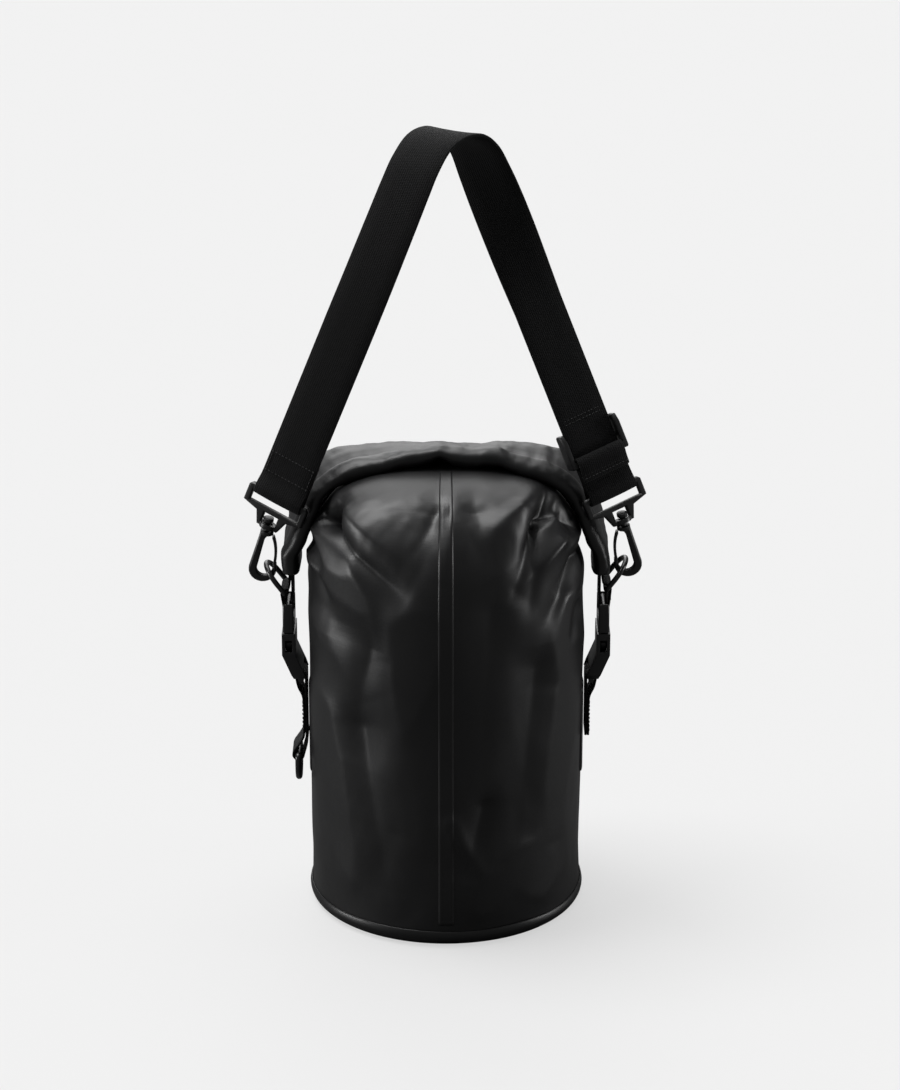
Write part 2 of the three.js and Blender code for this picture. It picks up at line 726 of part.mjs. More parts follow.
function shoulderStrap() {
  const sewnEye = placed(strapEye(58, STRAP_PLY), LEGS.left);
  const turnedEye = placed(strapEye(38, 0), LEGS.right);
  return piece('shoulder_strap', join(strapRibbon(), sewnEye, turnedEye), WEBBING);
}

// The strap's free end comes back up from the hook and is sewn round the slider's front bar.
function adjusterWebbing() {
  const behind = -STRAP_PLY / 2 - GAP;
  const shape = polygon([
    [behind, 34.5], [behind, 58], [-9.2, 58], [-9.6, 50], [-6.2, 44], [-6.2, 40], [-3.9, 40], [-3.9, 34.5],
  ]);
  shape.holes.push(rectangle([-7.3, 50.7], [-3.5, 55.9]));
  return piece('adjuster_webbing', extrudeAlongX(shape, STRAP_WIDTH - 0.4), WEBBING);
}

// Assembly

const group = new THREE.Group();
group.add(basePanel(), bagBody(), backSeamTape(), rollClosure(), rollStiffener(), lowerRing(), shoulderStrap());

for (const side of SIDES) {
  group.add(sideStrap(side), endTab(side), upperRing(side));
  group.add(buckleFemale(side), buckleMale(side), prong(side, 'front', -1), prong(side, 'back', 1));
  const legFrame = legGroup(LEGS[side.name]);
  legFrame.add(hookFrame(side));
  if (side.name === 'right') {
    legFrame.add(strapSlider(), adjusterWebbing());
  }
  const hookFrameGroup = hookGroup(side);
  hookFrameGroup.add(hook(side), hookGate(side));
  group.add(legFrame, hookFrameGroup);
}

export default group;
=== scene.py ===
"""Rope storage bag: the visual model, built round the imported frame."""

import json
import math

import bmesh
import bpy
import numpy as np
from bpy.props import FloatProperty, FloatVectorProperty, IntProperty, PointerProperty
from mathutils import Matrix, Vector, noise


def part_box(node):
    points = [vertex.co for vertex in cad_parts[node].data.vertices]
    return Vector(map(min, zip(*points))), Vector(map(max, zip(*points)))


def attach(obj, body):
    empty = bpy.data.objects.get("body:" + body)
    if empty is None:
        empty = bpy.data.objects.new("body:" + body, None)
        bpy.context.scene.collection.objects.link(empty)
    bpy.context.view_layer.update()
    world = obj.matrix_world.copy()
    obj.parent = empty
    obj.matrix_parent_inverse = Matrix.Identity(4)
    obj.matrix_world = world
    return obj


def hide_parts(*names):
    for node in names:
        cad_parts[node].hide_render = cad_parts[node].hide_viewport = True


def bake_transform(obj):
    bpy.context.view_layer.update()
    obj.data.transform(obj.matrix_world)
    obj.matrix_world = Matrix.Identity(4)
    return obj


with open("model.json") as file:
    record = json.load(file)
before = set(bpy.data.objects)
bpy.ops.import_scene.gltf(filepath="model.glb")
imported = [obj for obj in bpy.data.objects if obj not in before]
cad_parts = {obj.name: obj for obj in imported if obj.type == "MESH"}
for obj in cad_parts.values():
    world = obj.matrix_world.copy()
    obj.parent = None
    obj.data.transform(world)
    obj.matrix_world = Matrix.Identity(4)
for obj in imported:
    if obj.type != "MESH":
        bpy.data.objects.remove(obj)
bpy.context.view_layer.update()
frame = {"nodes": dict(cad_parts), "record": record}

bl_info = {
    "name": "Rope storage bag",
    "version": (1, 0, 0),
    "blender": (4, 5, 0),
    "location": "View3D > Sidebar > Rope bag",
    "description": "Builds a roll-top rope storage bag round its packed frame",
    "category": "Object",
}

MM = 0.001
RECORD = frame["record"]
BODY_OF_NODE = {n: b for b, nodes in RECORD["behaviour"]["bodies"].items() for n in nodes}
JOINTS = {joint["name"]: joint for joint in RECORD["behaviour"]["joints"]}

# Sizes read from the frame
BASE_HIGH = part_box("base_panel")[1]
BODY_LOW, BODY_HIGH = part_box("bag_body")
BASE_RADIUS = BASE_HIGH.x
BODY_RADIUS = BODY_HIGH.x
ROLL_END_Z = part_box("roll_closure")[0].z
SIDES = (("left", -1), ("right", 1))

# Height where the body starts to close towards its mouth
SHOULDER_Z = 235 * MM

# Half outlines of the roll's front and back edges, from the middle to one end (X, Z in mm)
ROLL_FRONT = [(0, 358), (32, 356), (60, 349), (84, 338), (100, 317), (111, 292), (116.5, 280), (117, 266)]
ROLL_BACK = [(0, 351), (32, 352), (64, 351), (93, 342), (110, 316), (116, 292), (116.5, 280), (117, 266)]
ROLL_FRONT_Y = -8.5 * MM
ROLL_BACK_Y = 30 * MM
ROLL_THICKNESS = 13 * MM

# The legs of the shoulder strap: where each hook's swivel is, and the way the webbing leaves it
LEGS = {
    "left": (Vector((-0.1338, -0.0115, 0.305)), Vector((0.37, -0.05, 0.928)), math.radians(-22)),
    "right": (Vector((0.1326, -0.0115, 0.309)), Vector((-0.37, 0.154, 0.916)), math.radians(22)),
}
# Heights along a leg that its straight part goes through, in mm
LEG_HEIGHTS = (90, 130, 170, 205)
# The folded top of the strap, from the left leg to the right one, in mm
STRAP_TOP = [
    (-47, -22.5, 523), (-37.5, -22.5, 547), (-29.5, -21.5, 567), (-22, -18, 584), (-12.5, -9, 597.5),
    (0, 2, 602.5),
    (12, 12.5, 598), (21.5, 20, 585), (29, 23.5, 567), (37, 24, 547), (46.5, 22.5, 523),
]
# The way the webbing's width points at the very top
CROWN_WIDTH = Vector((0.85, -0.5, -0.05)).normalized()
STRAP_WIDTH = 40 * MM
SIDE_WEBBING_WIDTH = 25 * MM

# The welded patch behind each side webbing
PATCH_MIDDLE_Z = 140 * MM
PATCH_HALF_HEIGHT = 36 * MM
PATCH_HALF_WIDTH = 17 * MM
PATCH_CORNER = 6 * MM

SEAM_TAPE_WIDTH = 11.4 * MM
RING_TILT = math.radians(37)


# ---- settings

def colour_setting(name, description, default):
    return FloatVectorProperty(
        name=name, description=description, subtype="COLOR", default=default, min=0, max=1)


class BagSettings(bpy.types.PropertyGroup):
    fabric_colour: colour_setting("Coated fabric", "Colour of the coated fabric", (0.0050, 0.0050, 0.0054))
    webbing_colour: colour_setting("Webbing", "Colour of all webbing", (0.0036, 0.0036, 0.0038))
    plastic_colour: colour_setting("Fittings", "Colour of buckles, hooks and rings", (0.0045, 0.0045, 0.0048))
    thread_colour: colour_setting("Thread", "Colour of the sewing thread", (0.011, 0.011, 0.0115))
    fold_depth: FloatProperty(
        name="Fold depth", description="Strength of the body's creases and dents", default=1.7, min=0, max=2)
    fabric_thickness: FloatProperty(
        name="Fabric thickness", description="Thickness of the coated fabric", default=0.9 * MM,
        unit="LENGTH", min=0.0003, max=0.003)
    stitch_spacing: FloatProperty(
        name="Stitch spacing", description="Distance from stitch to stitch", default=2.9 * MM,
        unit="LENGTH", min=0.001, max=0.01)
    stitch_length: FloatProperty(
        name="Stitch length", description="Length of one stitch on the surface", default=2.2 * MM,
        unit="LENGTH", min=0.0005, max=0.01)
    body_columns: IntProperty(
        name="Body columns", description="Faces round the body", default=260, min=48, max=400)


def settings():
    return bpy.context.scene.rope_bag


# ---- shader groups

LINT_COLOUR = (0.05, 0.049, 0.048, 1)


def add_socket(tree, name, direction, kind, default=None):
    socket = tree.interface.new_socket(name=name, in_out=direction, socket_type=kind)
    if default is not None:
        socket.default_value = default


def new_group(name, inputs, outputs):
    tree = bpy.data.node_groups.new(name, "ShaderNodeTree")
    for label, kind, default in inputs:
        add_socket(tree, label, "INPUT", kind, default)
    for label, kind in outputs:
        add_socket(tree, label, "OUTPUT", kind)
    return tree, tree.nodes.new("NodeGroupInput"), tree.nodes.new("NodeGroupOutput")


def math_node(tree, operation, first, second=None):
    node = tree.nodes.new("ShaderNodeMath")
    node.operation = operation
    for socket, value in zip(node.inputs, (first, second)):
        if value is None:
            continue
        if isinstance(value, (int, float)):
            socket.default_value = value
        else:
            tree.links.new(value, socket)
    return node.outputs[0]


def set_inputs(node, values):
    for name, value in values.items():
        node.inputs[name].default_value = value


def noise_node(tree, vector, scale, detail=2.0, roughness=0.5):
    node = tree.nodes.new("ShaderNodeTexNoise")
    set_inputs(node, {"Scale": scale, "Detail": detail, "Roughness": roughness})
    tree.links.new(vector, node.inputs["Vector"])
    return node.outputs["Fac"]


def stretched(tree, vector, scale):
    node = tree.nodes.new("ShaderNodeMapping")
    node.inputs["Scale"].default_value = scale
    tree.links.new(vector, node.inputs["Vector"])
    return node.outputs["Vector"]


def colour_mix(tree, factor, first, second):
    """Two colours mixed; the first is a value or a socket."""
    mix = tree.nodes.new("ShaderNodeMix")
    mix.data_type = "RGBA"
    mix.inputs["B"].default_value = second
    tree.links.new(factor, mix.inputs["Factor"])
    if isinstance(first, bpy.types.NodeSocket):
        tree.links.new(first, mix.inputs["A"])
    else:
        mix.inputs["A"].default_value = first
    return mix.outputs["Result"]


def calender_grain_group():
    """Fine level lines pressed into coated fabric, with a faint pebble over them."""
    tree, inside, outside = new_group(
        "calender_grain",
        [("Vector", "NodeSocketVector", None), ("Line Strength", "NodeSocketFloat", 0.6)],
        [("Height", "NodeSocketFloat"), ("Mottle", "NodeSocketFloat")])
    vector = inside.outputs["Vector"]
    lines = noise_node(tree, stretched(tree, vector, (40, 40, 1900)), 1.0, 2.0, 0.6)
    pebble = noise_node(tree, vector, 1500, 2.0)
    mottle = noise_node(tree, vector, 22, 3.0, 0.55)
    strong = math_node(tree, "MULTIPLY", lines, inside.outputs["Line Strength"])
    total = math_node(tree, "ADD", strong, math_node(tree, "MULTIPLY", pebble, 0.35))
    tree.links.new(total, outside.inputs["Height"])
    tree.links.new(mottle, outside.inputs["Mottle"])
    return tree


def weave_group():
    """Crossing rounded yarns laid out on a ribbon's own UV map, in metres."""
    tree, inside, outside = new_group(
        "webbing_weave",
        [("UV", "NodeSocketVector", None), ("Rib Pitch", "NodeSocketFloat", 1.25 * MM),
         ("Yarn Pitch", "NodeSocketFloat", 1.6 * MM)],
        [("Height", "NodeSocketFloat"), ("Shade", "NodeSocketFloat")])
    split = tree.nodes.new("ShaderNodeSeparateXYZ")
    tree.links.new(inside.outputs["UV"], split.inputs[0])
    along = math_node(tree, "DIVIDE", split.outputs["X"], inside.outputs["Rib Pitch"])
    across = math_node(tree, "DIVIDE", split.outputs["Y"], inside.outputs["Yarn Pitch"])
    column = math_node(tree, "FLOOR", across)
    shifted = math_node(tree, "ADD", along, math_node(tree, "MULTIPLY", column, 0.5))
    rib, yarn = (
        math_node(tree, "ABSOLUTE", math_node(tree, "SINE", math_node(tree, "MULTIPLY", place, math.pi)))
        for place in (shifted, across))
    fuzz = noise_node(tree, stretched(tree, inside.outputs["UV"], (900, 2600, 1)), 1.0, 3.0, 0.65)
    woven = math_node(tree, "MULTIPLY", rib, yarn)
    height = math_node(tree, "ADD", woven, math_node(tree, "MULTIPLY", fuzz, 0.35))
    # Shade is painted shade and painted highlight: dark between the yarns and in the ribs' hollows, light on
    # their crests
    shade = math_node(tree, "MULTIPLY", yarn, math_node(tree, "ADD", rib, 0.4))
    tree.links.new(height, outside.inputs["Height"])
    tree.links.new(shade, outside.inputs["Shade"])
    return tree


def dust_group():
    """Soft uneven lint and rub marks, lighter and rougher than what they lie on."""
    tree, inside, outside = new_group(
        "light_dust",
        [("Vector", "NodeSocketVector", None), ("Base", "NodeSocketColor", (0.01, 0.01, 0.01, 1)),
         ("Amount", "NodeSocketFloat", 0.15), ("Roughness", "NodeSocketFloat", 0.45)],
        [("Colour", "NodeSocketColor"), ("Roughness", "NodeSocketFloat")])
    vector = inside.outputs["Vector"]
    clouds = noise_node(tree, vector, 14, 5.0, 0.62)
    specks = noise_node(tree, vector, 420, 2.0, 0.7)
    both = math_node(tree, "MULTIPLY", clouds, specks)
    mask = math_node(tree, "MULTIPLY", both, inside.outputs["Amount"])
    colour = colour_mix(tree, mask, inside.outputs["Base"], LINT_COLOUR)
    tree.links.new(colour, outside.inputs["Colour"])
    drift = math_node(tree, "MULTIPLY", math_node(tree, "SUBTRACT", clouds, 0.5), 0.22)
    tree.links.new(math_node(tree, "ADD", inside.outputs["Roughness"], drift), outside.inputs["Roughness"])
    return tree


# ---- materials

def group_node(tree, group, **values):
    node = tree.nodes.new("ShaderNodeGroup")
    node.node_tree = group
    set_inputs(node, {name.replace("_", " "): value for name, value in values.items()})
    return node


def bump_into(tree, shader, height, strength, distance):
    bump = tree.nodes.new("ShaderNodeBump")
    set_inputs(bump, {"Strength": strength, "Distance": distance})
    tree.links.new(height, bump.inputs["Height"])
    tree.links.new(bump.outputs["Normal"], shader.inputs["Normal"])


def new_material(name):
    material = bpy.data.materials.new(name)
    material.use_nodes = True
    tree = material.node_tree
    return material, tree, tree.nodes["Principled BSDF"], tree.nodes.new("ShaderNodeTexCoord")


def dusted(tree, shader, vector, colour, amount, roughness):
    dust = group_node(tree, GROUPS["dust"], Amount=amount, Roughness=roughness, Base=(*colour, 1))
    tree.links.new(vector, dust.inputs["Vector"])
    tree.links.new(dust.outputs["Colour"], shader.inputs["Base Color"])
    tree.links.new(dust.outputs["Roughness"], shader.inputs["Roughness"])


def coated_fabric_material(name, roughness, lines):
    material, tree, shader, coords = new_material(name)
    grain = group_node(tree, GROUPS["grain"], Line_Strength=lines)
    tree.links.new(coords.outputs["Object"], grain.inputs["Vector"])
    dusted(tree, shader, coords.outputs["Object"], settings().fabric_colour, 0.07, roughness)
    bump_into(tree, shader, grain.outputs["Height"], 0.30, 0.00022)
    shader.inputs["Specular IOR Level"].default_value = 0.42
    return material


def webbing_material():
    material, tree, shader, coords = new_material("black_webbing")
    weave = group_node(tree, GROUPS["weave"])
    tree.links.new(coords.outputs["UV"], weave.inputs["UV"])
    # Painted shade in the weave's hollows and a painted highlight on its crests, mixed by the weave's relief
    hollow, lit_crest = ((*(share * c for c in settings().webbing_colour), 1) for share in (0.35, 1.5))
    colour = colour_mix(tree, weave.outputs["Shade"], hollow, lit_crest)
    tree.links.new(colour, shader.inputs["Base Color"])
    set_inputs(shader, {"Roughness": 0.82, "Specular IOR Level": 0.16, "Sheen Weight": 0.04,
                        "Sheen Roughness": 0.5})
    bump_into(tree, shader, weave.outputs["Height"], 0.75, 0.00035)
    return material


def plastic_material(name, roughness, colour):
    material, tree, shader, coords = new_material(name)
    dusted(tree, shader, coords.outputs["Object"], colour, 0.12, roughness)
    fine = noise_node(tree, coords.outputs["Object"], 2600, 2.0)
    bump_into(tree, shader, fine, 0.18, 0.00008)
    shader.inputs["Specular IOR Level"].default_value = 0.5
    return material


def thread_material():
    material, tree, shader, coords = new_material("sewing_thread")
    twist = noise_node(tree, stretched(tree, coords.outputs["Object"], (3000, 3000, 3000)), 1.0, 2.0)
    dusted(tree, shader, coords.outputs["Object"], settings().thread_colour, 0.2, 0.6)
    bump_into(tree, shader, twist, 0.5, 0.0002)
    return material


GROUPS = {}
MATERIALS = {}


class ROPEBAG_OT_materials(bpy.types.Operator):
    """Build the shader groups and the finishes"""
    bl_idname = "rope_bag.materials"
    bl_label = "Finishes"

    def execute(self, context):
        GROUPS.update(grain=calender_grain_group(), weave=weave_group(), dust=dust_group())
        plastic = settings().plastic_colour
        MATERIALS.update(
            coated_fabric=coated_fabric_material("coated_fabric", 0.43, 0.75),
            weld_band=coated_fabric_material("welded_band", 0.40, 0.35),
            webbing=webbing_material(),
            acetal=plastic_material("black_acetal", 0.40, plastic),
            ring=plastic_material("black_ring", 0.30, plastic),
            stiffener=plastic_material("stiffening_strip", 0.55, (0.03, 0.03, 0.032)),
            thread=thread_material())
        return {"FINISHED"}


# ---- mesh helpers

def placed(name, data):
    """A new object in the scene."""
    piece = bpy.data.objects.new(name, data)
    bpy.context.scene.collection.objects.link(piece)
    return piece


def new_object(name, mesh, material):
    mesh.materials.append(MATERIALS[material])
    return placed(name, mesh)


def shade_smooth(mesh):
    mesh.polygons.foreach_set("use_smooth", [True] * len(mesh.polygons))


def mesh_from(name, points, faces, material):
    mesh = bpy.data.meshes.new(name)
    mesh.from_pydata([tuple(p) for p in points], [], faces)
    mesh.validate()
    shade_smooth(mesh)
    mesh.update()
    return new_object(name, mesh, material)


def finished_mesh(piece):
    """A smooth-shaded mesh of the piece as its modifiers leave it."""
    graph = bpy.context.evaluated_depsgraph_get()
    mesh = bpy.data.meshes.new_from_object(piece.evaluated_get(graph))
    shade_smooth(mesh)
    return mesh


def outward(piece):
    """Turn every face outwards on a closed mesh."""
    bm = bmesh.new()
    bm.from_mesh(piece.data)
    if bm.calc_volume(signed=True) < 0:
        bmesh.ops.reverse_faces(bm, faces=bm.faces)
    bm.to_mesh(piece.data)
    bm.free()
    return piece


def loft(name, rings, material, endless=False):
    """A skin through rings of points, capped at the ends or closed on itself."""
    count = len(rings[0])
    spans = len(rings) if endless else len(rings) - 1
    faces = []
    for i in range(spans):
        here = i * count
        after = ((i + 1) % len(rings)) * count
        for j in range(count):
            k = (j + 1) % count
            faces.append((here + j, here + k, after + k, after + j))
    if not endless:
        faces.append(tuple(reversed(range(count))))
        faces.append(tuple(range((len(rings) - 1) * count, len(rings) * count)))
    return outward(mesh_from(name, [p for ring in rings for p in ring], faces, material))


def settle(piece, nodes, body=None):
    """Attach a piece to its body, and hide the CAD nodes that it stands for."""
    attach(piece, body or BODY_OF_NODE[nodes[0]])
    if nodes:
        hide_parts(*nodes)


def smooth_path(points, steps):
    """Points evenly spaced along a smooth curve through the given ones."""
    points = [Vector(p) for p in points]
    padded = [2 * points[0] - points[1], *points, 2 * points[-1] - points[-2]]
    dense = []
    for a, b, c, d in zip(padded, padded[1:], padded[2:], padded[3:]):
        for i in range(12):
            t = i / 12
            dense.append(0.5 * (2 * b + (c - a) * t + (2 * a - 5 * b + 4 * c - d) * t ** 2
                                + (3 * b - a - 3 * c + d) * t ** 3))
    dense.append(points[-1])
    lengths = [0.0]
    for a, b in zip(dense, dense[1:]):
        lengths.append(lengths[-1] + (b - a).length)
    result = []
    at = 0
    for i in range(steps + 1):
        goal = lengths[-1] * i / steps
        while at < len(lengths) - 2 and lengths[at + 1] < goal:
            at += 1
        span = max(lengths[at + 1] - lengths[at], 1e-12)
        result.append(dense[at].lerp(dense[at + 1], (goal - lengths[at]) / span))
    return result


# Points across a ribbon's flat side, and the angles of those round its edge
RIBBON_SIDE = 5
RIBBON_EDGE_TURNS = (0.8, 1.57, 2.34)


def ribbon(name, path, widths, width, thickness, cup=0.0):
    """Woven tape with round edges along a path, with its own UV map in metres."""
    half = width / 2
    edge = thickness / 2
    flat = [(-1 + 2 * i / (RIBBON_SIDE - 1)) * (half - edge) for i in range(RIBBON_SIDE)]
    profile = [(a, -edge) for a in flat]
    profile += [(half - edge + edge * math.sin(t), -edge * math.cos(t)) for t in RIBBON_EDGE_TURNS]
    profile += [(a, edge) for a in reversed(flat)]
    profile += [(-half + edge - edge * math.sin(t), edge * math.cos(t)) for t in RIBBON_EDGE_TURNS]
    rings = []
    travelled = [0.0]
    for i, here in enumerate(path):
        before = path[max(i - 1, 0)]
        after = path[min(i + 1, len(path) - 1)]
        along = (after - before).normalized()
        wish = widths[i] if isinstance(widths, list) else widths
        across = (wish - along * wish.dot(along)).normalized()
        normal = along.cross(across)
        bend = [cup * (a / half) ** 2 for a, _ in profile]
        rings.append([here + across * a + normal * (b + c) for (a, b), c in zip(profile, bend)])
        if i:
            travelled.append(travelled[-1] + (here - before).length)
    piece = loft(name, rings, "webbing")
    count = len(profile)
    layer = piece.data.uv_layers.new(name="UVMap")
    for polygon in piece.data.polygons:
        rows = [v // count for v in polygon.vertices]
        for loop, vertex, row in zip(polygon.loop_indices, polygon.vertices, rows):
            a, b = profile[vertex % count]
            layer.data[loop].uv = (travelled[row], a + half + (0.3 * b if abs(a) > half - edge else 0))
    return piece


def arc(centre, radius, start, end, steps=9):
    return [
        (centre[0] + radius * math.cos(math.radians(start + (end - start) * i / steps)),
         centre[1] + radius * math.sin(math.radians(start + (end - start) * i / steps)))
        for i in range(steps + 1)
    ]


# ---- roll

ROLL_STATIONS = 300
ROLL_SECTION_POINTS = 56


def roll_edges(stations):
    """The roll's front and back edges as evenly spaced points from end to end."""
    def edge(half, y):
        whole = [(-x, z) for x, z in reversed(half[1:])] + half
        return smooth_path([(x * MM, y, z * MM) for x, z in whole], stations)
    return edge(ROLL_FRONT, ROLL_FRONT_Y), edge(ROLL_BACK, ROLL_BACK_Y)


def bell(value, centre, width):
    return math.exp(-((value - centre) / width) ** 2)


# Places along the roll, from -1 at one end to 1 at the other, where the lip is pinched or swells:
# place, half width, and how much thicker
ROLL_SWELLS = [(-0.56, 0.06, -0.36), (-0.40, 0.08, 0.12), (-0.16, 0.10, 0.10), (-0.02, 0.035, -0.22),
               (0.10, 0.07, 0.12), (0.27, 0.05, -0.18), (0.42, 0.07, 0.08), (0.60, 0.05, -0.20)]
# The same for how far the lip rises, in mm
ROLL_RISES = [(-0.30, 0.10, -2.0), (-0.03, 0.04, 2.6), (0.10, 0.08, -1.6), (0.22, 0.05, 1.4),
              (0.38, 0.08, -1.6), (-0.60, 0.06, 2.2), (0.62, 0.07, 1.6)]


def roll_ring(front, back, along, share):
    """The rolled fabric's section: a round front lip, a step behind it and a flat top."""
    middle = (front + back) / 2
    depth = (back - front).normalized()
    out = along.cross(depth).normalized()
    place = share * 2 - 1
    swell = 1 + sum(grow * bell(place, at, width) for at, width, grow in ROLL_SWELLS)
    rise = sum(lift * bell(place, at, width) for at, width, lift in ROLL_RISES) * MM
    half_t = ROLL_THICKNESS / 2
    half_d = (back - front).length / 2 + ROLL_THICKNESS / 2
    ring = []
    for i in range(ROLL_SECTION_POINTS):
        turn = 2 * math.pi * i / ROLL_SECTION_POINTS
        c = math.cos(turn)
        s = math.sin(turn)
        d = math.copysign(abs(c) ** 0.6, c)
        t = math.copysign(abs(s) ** 0.75, s)
        lip = 1 / (1 + math.exp((d + 0.34) * 16))
        step = 1.5 * MM * lip * max(t, 0) - 1.3 * MM * bell(d, -0.28, 0.11) * max(t, 0)
        groove = -1.1 * MM * bell(d, 0.34, 0.05) * max(t, 0)
        thick = half_t * (1 + (swell - 1) * lip)
        point = middle + half_d * d * depth + out * (thick * t + step + groove + rise * (0.35 + 0.65 * lip))
        crumple = noise.fractal(Vector((share * 11, d * 1.1, 2.0 + (1 if s > 0 else 0))), 0.9, 2.0, 4)
        pleat = noise.noise(Vector((share * 46, d * 1.6, 7.3)))
        point += out * (1.5 * MM * crumple * (1 if s > 0 else 0.5) + 0.55 * MM * pleat)
        ring.append(point)
    return ring


class ROPEBAG_OT_roll(bpy.types.Operator):
    """Build the rolled closure, and give its hidden stiffening strip a finish"""
    bl_idname = "rope_bag.roll"
    bl_label = "Roll closure"

    def execute(self, context):
        front, back = roll_edges(ROLL_STATIONS)
        rings = []
        for i in range(ROLL_STATIONS + 1):
            before = max(i - 1, 0)
            after = min(i + 1, ROLL_STATIONS)
            along = ((front[after] - front[before]) + (back[after] - back[before])).normalized()
            rings.append(roll_ring(front[i], back[i], along, i / ROLL_STATIONS))
        for end, step in ((0, 1), (-1, -1)):
            middle = sum(rings[end], Vector()) / len(rings[end])
            tuck = sum(rings[end + 3 * step], Vector()) / len(rings[end]) - middle
            inset = [middle + (p - middle) * 0.93 - tuck * 0.15 for p in rings[end]]
            hollow = [middle + (p - middle) * 0.72 + tuck * 0.75 for p in rings[end]]
            if end == 0:
                rings = [hollow, inset, *rings]
            else:
                rings = [*rings, inset, hollow]
        settle(loft("roll_fabric", rings, "coated_fabric"), ["roll_closure"])
        strip = frame["nodes"]["roll_stiffener"]
        strip.data.materials.clear()
        strip.data.materials.append(MATERIALS["stiffener"])
        return {"FINISHED"}


# ---- body

# Creases and dents on the seam side: from (X, Z) to (X, Z), half width and depth, in mm.
# A crease is deepest where it starts and fades to nothing at its end. A negative depth is a valley.
SEAM_SIDE_FOLDS = [
    (-92, 316, -84, 334, 5, -17), (-86, 322, -74, 342, 5, -10),
    (-88, 316, -26, 276, 7, -5.5), (-80, 330, -20, 300, 15, 3.6), (-98, 300, -60, 256, 11, 3),
    (-101, 296, -86, 252, 6, -5.5), (-104, 282, -70, 268, 8, 4), (-70, 300, -44, 228, 12, 3),
    (-90, 250, -44, 236, 13, -2.2), (-92, 236, -62, 190, 16, 2.4),
    (76, 338, 82, 322, 5, -15), (88, 330, 98, 300, 5, -9),
    (74, 336, 48, 270, 7, -6), (70, 322, 62, 256, 7, -4.5), (66, 342, 22, 318, 12, 4),
    (84, 306, 54, 280, 9, 4.5), (98, 286, 70, 240, 7, -5.5), (90, 262, 78, 200, 9, 3.5),
    (99, 250, 84, 190, 8, -2.5),
    (-92, 168, -68, 14, 20, 4.4), (-66, 168, -40, 20, 20, -4.2), (94, 214, 74, 70, 17, 4.4),
    (70, 216, 52, 70, 18, -3.8), (30, 112, 14, 52, 12, -4.2), (4, 100, 36, 44, 7, 2.4),
    (34, 40, 22, 14, 9, 3.4), (-36, 12, -16, 34, 13, -2.4), (58, 70, 76, 16, 9, 3.0),
    (-24, 250, -40, 90, 26, 3.0), (34, 268, 26, 120, 28, -2.6), (-56, 236, -76, 140, 15, -3.0),
    (-6, 340, -34, 296, 14, -3.6), (20, 342, 40, 296, 14, -3.4), (6, 342, -4, 290, 10, 2.2),
]
FAR_SIDE_FOLDS = [
    (-92, 316, -82, 334, 5, -15), (-84, 320, -30, 272, 8, -6), (92, 316, 80, 336, 5, -15),
    (84, 322, 24, 276, 8, -6), (-100, 290, -80, 246, 7, -5), (100, 288, 78, 242, 7, -5),
    (-76, 330, -24, 304, 13, 4), (76, 330, 22, 306, 13, 4), (96, 268, 54, 240, 12, 3.4),
    (-96, 262, -60, 220, 11, 3.2), (40, 340, 20, 290, 14, -3.5), (-20, 340, -6, 292, 14, -3),
    (-84, 220, -60, 90, 14, 4), (70, 210, 88, 70, 12, -3.6), (16, 250, 34, 90, 26, 3),
    (-34, 130, -8, 34, 16, -3.6), (46, 80, 72, 16, 12, 3.0), (-60, 60, -72, 14, 9, 2.6),
]


def mouth_curve():
    """Half of the line where the body goes up into the roll, from the middle to one side."""
    points = [(0, 350), (30, 349), (58, 344), (80, 333), (93, 316), (101, 300)]
    return smooth_path([(x * MM, 0, z * MM) for x, z in points], 60)


def fold_field(x, z, folds):
    """Height of the creases at points of one side, in metres."""
    total = np.zeros_like(x)
    for x0, z0, x1, z1, width, depth in folds:
        ax, az = x0 * MM, z0 * MM
        dx, dz = (x1 - x0) * MM, (z1 - z0) * MM
        length = math.hypot(dx, dz)
        t = np.clip(((x - ax) * dx + (z - az) * dz) / length ** 2, 0, 1)
        gap = np.hypot(x - ax - t * dx, z - az - t * dz) / (width * MM * (0.75 + 0.5 * t))
        fade = np.where(t < 1, (1 - t) ** 0.75, 0)
        total += depth * MM * fade * np.exp(-gap ** 1.35)
    return total


def body_grid(columns):
    """The smooth body without creases: rows of points from the foot to the mouth."""
    mouth = mouth_curve()
    foot = BODY_LOW.z - 0.4 * MM
    straight = np.linspace(foot, SHOULDER_Z, 84, endpoint=False)
    turns = np.linspace(0, 1, 76) ** 0.9 * math.pi / 2
    angles = np.arange(columns) / columns * 2 * math.pi - math.pi / 2
    ring_x = np.cos(angles)
    ring_y = np.sin(angles)
    fold = np.abs(np.arcsin(np.clip(ring_x, -1, 1))) / (math.pi / 2)
    position = fold * (len(mouth) - 1)
    mouth_x = np.interp(position, range(len(mouth)), [p.x for p in mouth]) * np.sign(ring_x)
    mouth_z = np.interp(position, range(len(mouth)), [p.z for p in mouth])
    mouth_y = np.sign(ring_y) * 4.0 * MM * np.sqrt(np.maximum(0, 1 - fold ** 6)) + 3 * MM
    rows = [np.stack([ring_x * BODY_RADIUS, ring_y * BODY_RADIUS, np.full(columns, z)], 1) for z in straight]
    for turn in turns:
        spread = max(math.cos(turn), 0) ** 0.62
        lift = math.sin(turn) ** 0.66
        rows.append(np.stack([
            mouth_x + (ring_x * BODY_RADIUS - mouth_x) * spread,
            mouth_y + (ring_y * BODY_RADIUS - mouth_y) * spread,
            SHOULDER_Z + (mouth_z - SHOULDER_Z) * lift], 1))
    return np.array(rows)


def grid_normals(grid):
    around = np.roll(grid, -1, 1) - np.roll(grid, 1, 1)
    up = np.gradient(grid, axis=0)
    normal = np.cross(around, up)
    size = np.linalg.norm(normal, axis=2, keepdims=True)
    return normal / np.maximum(size, 1e-12)


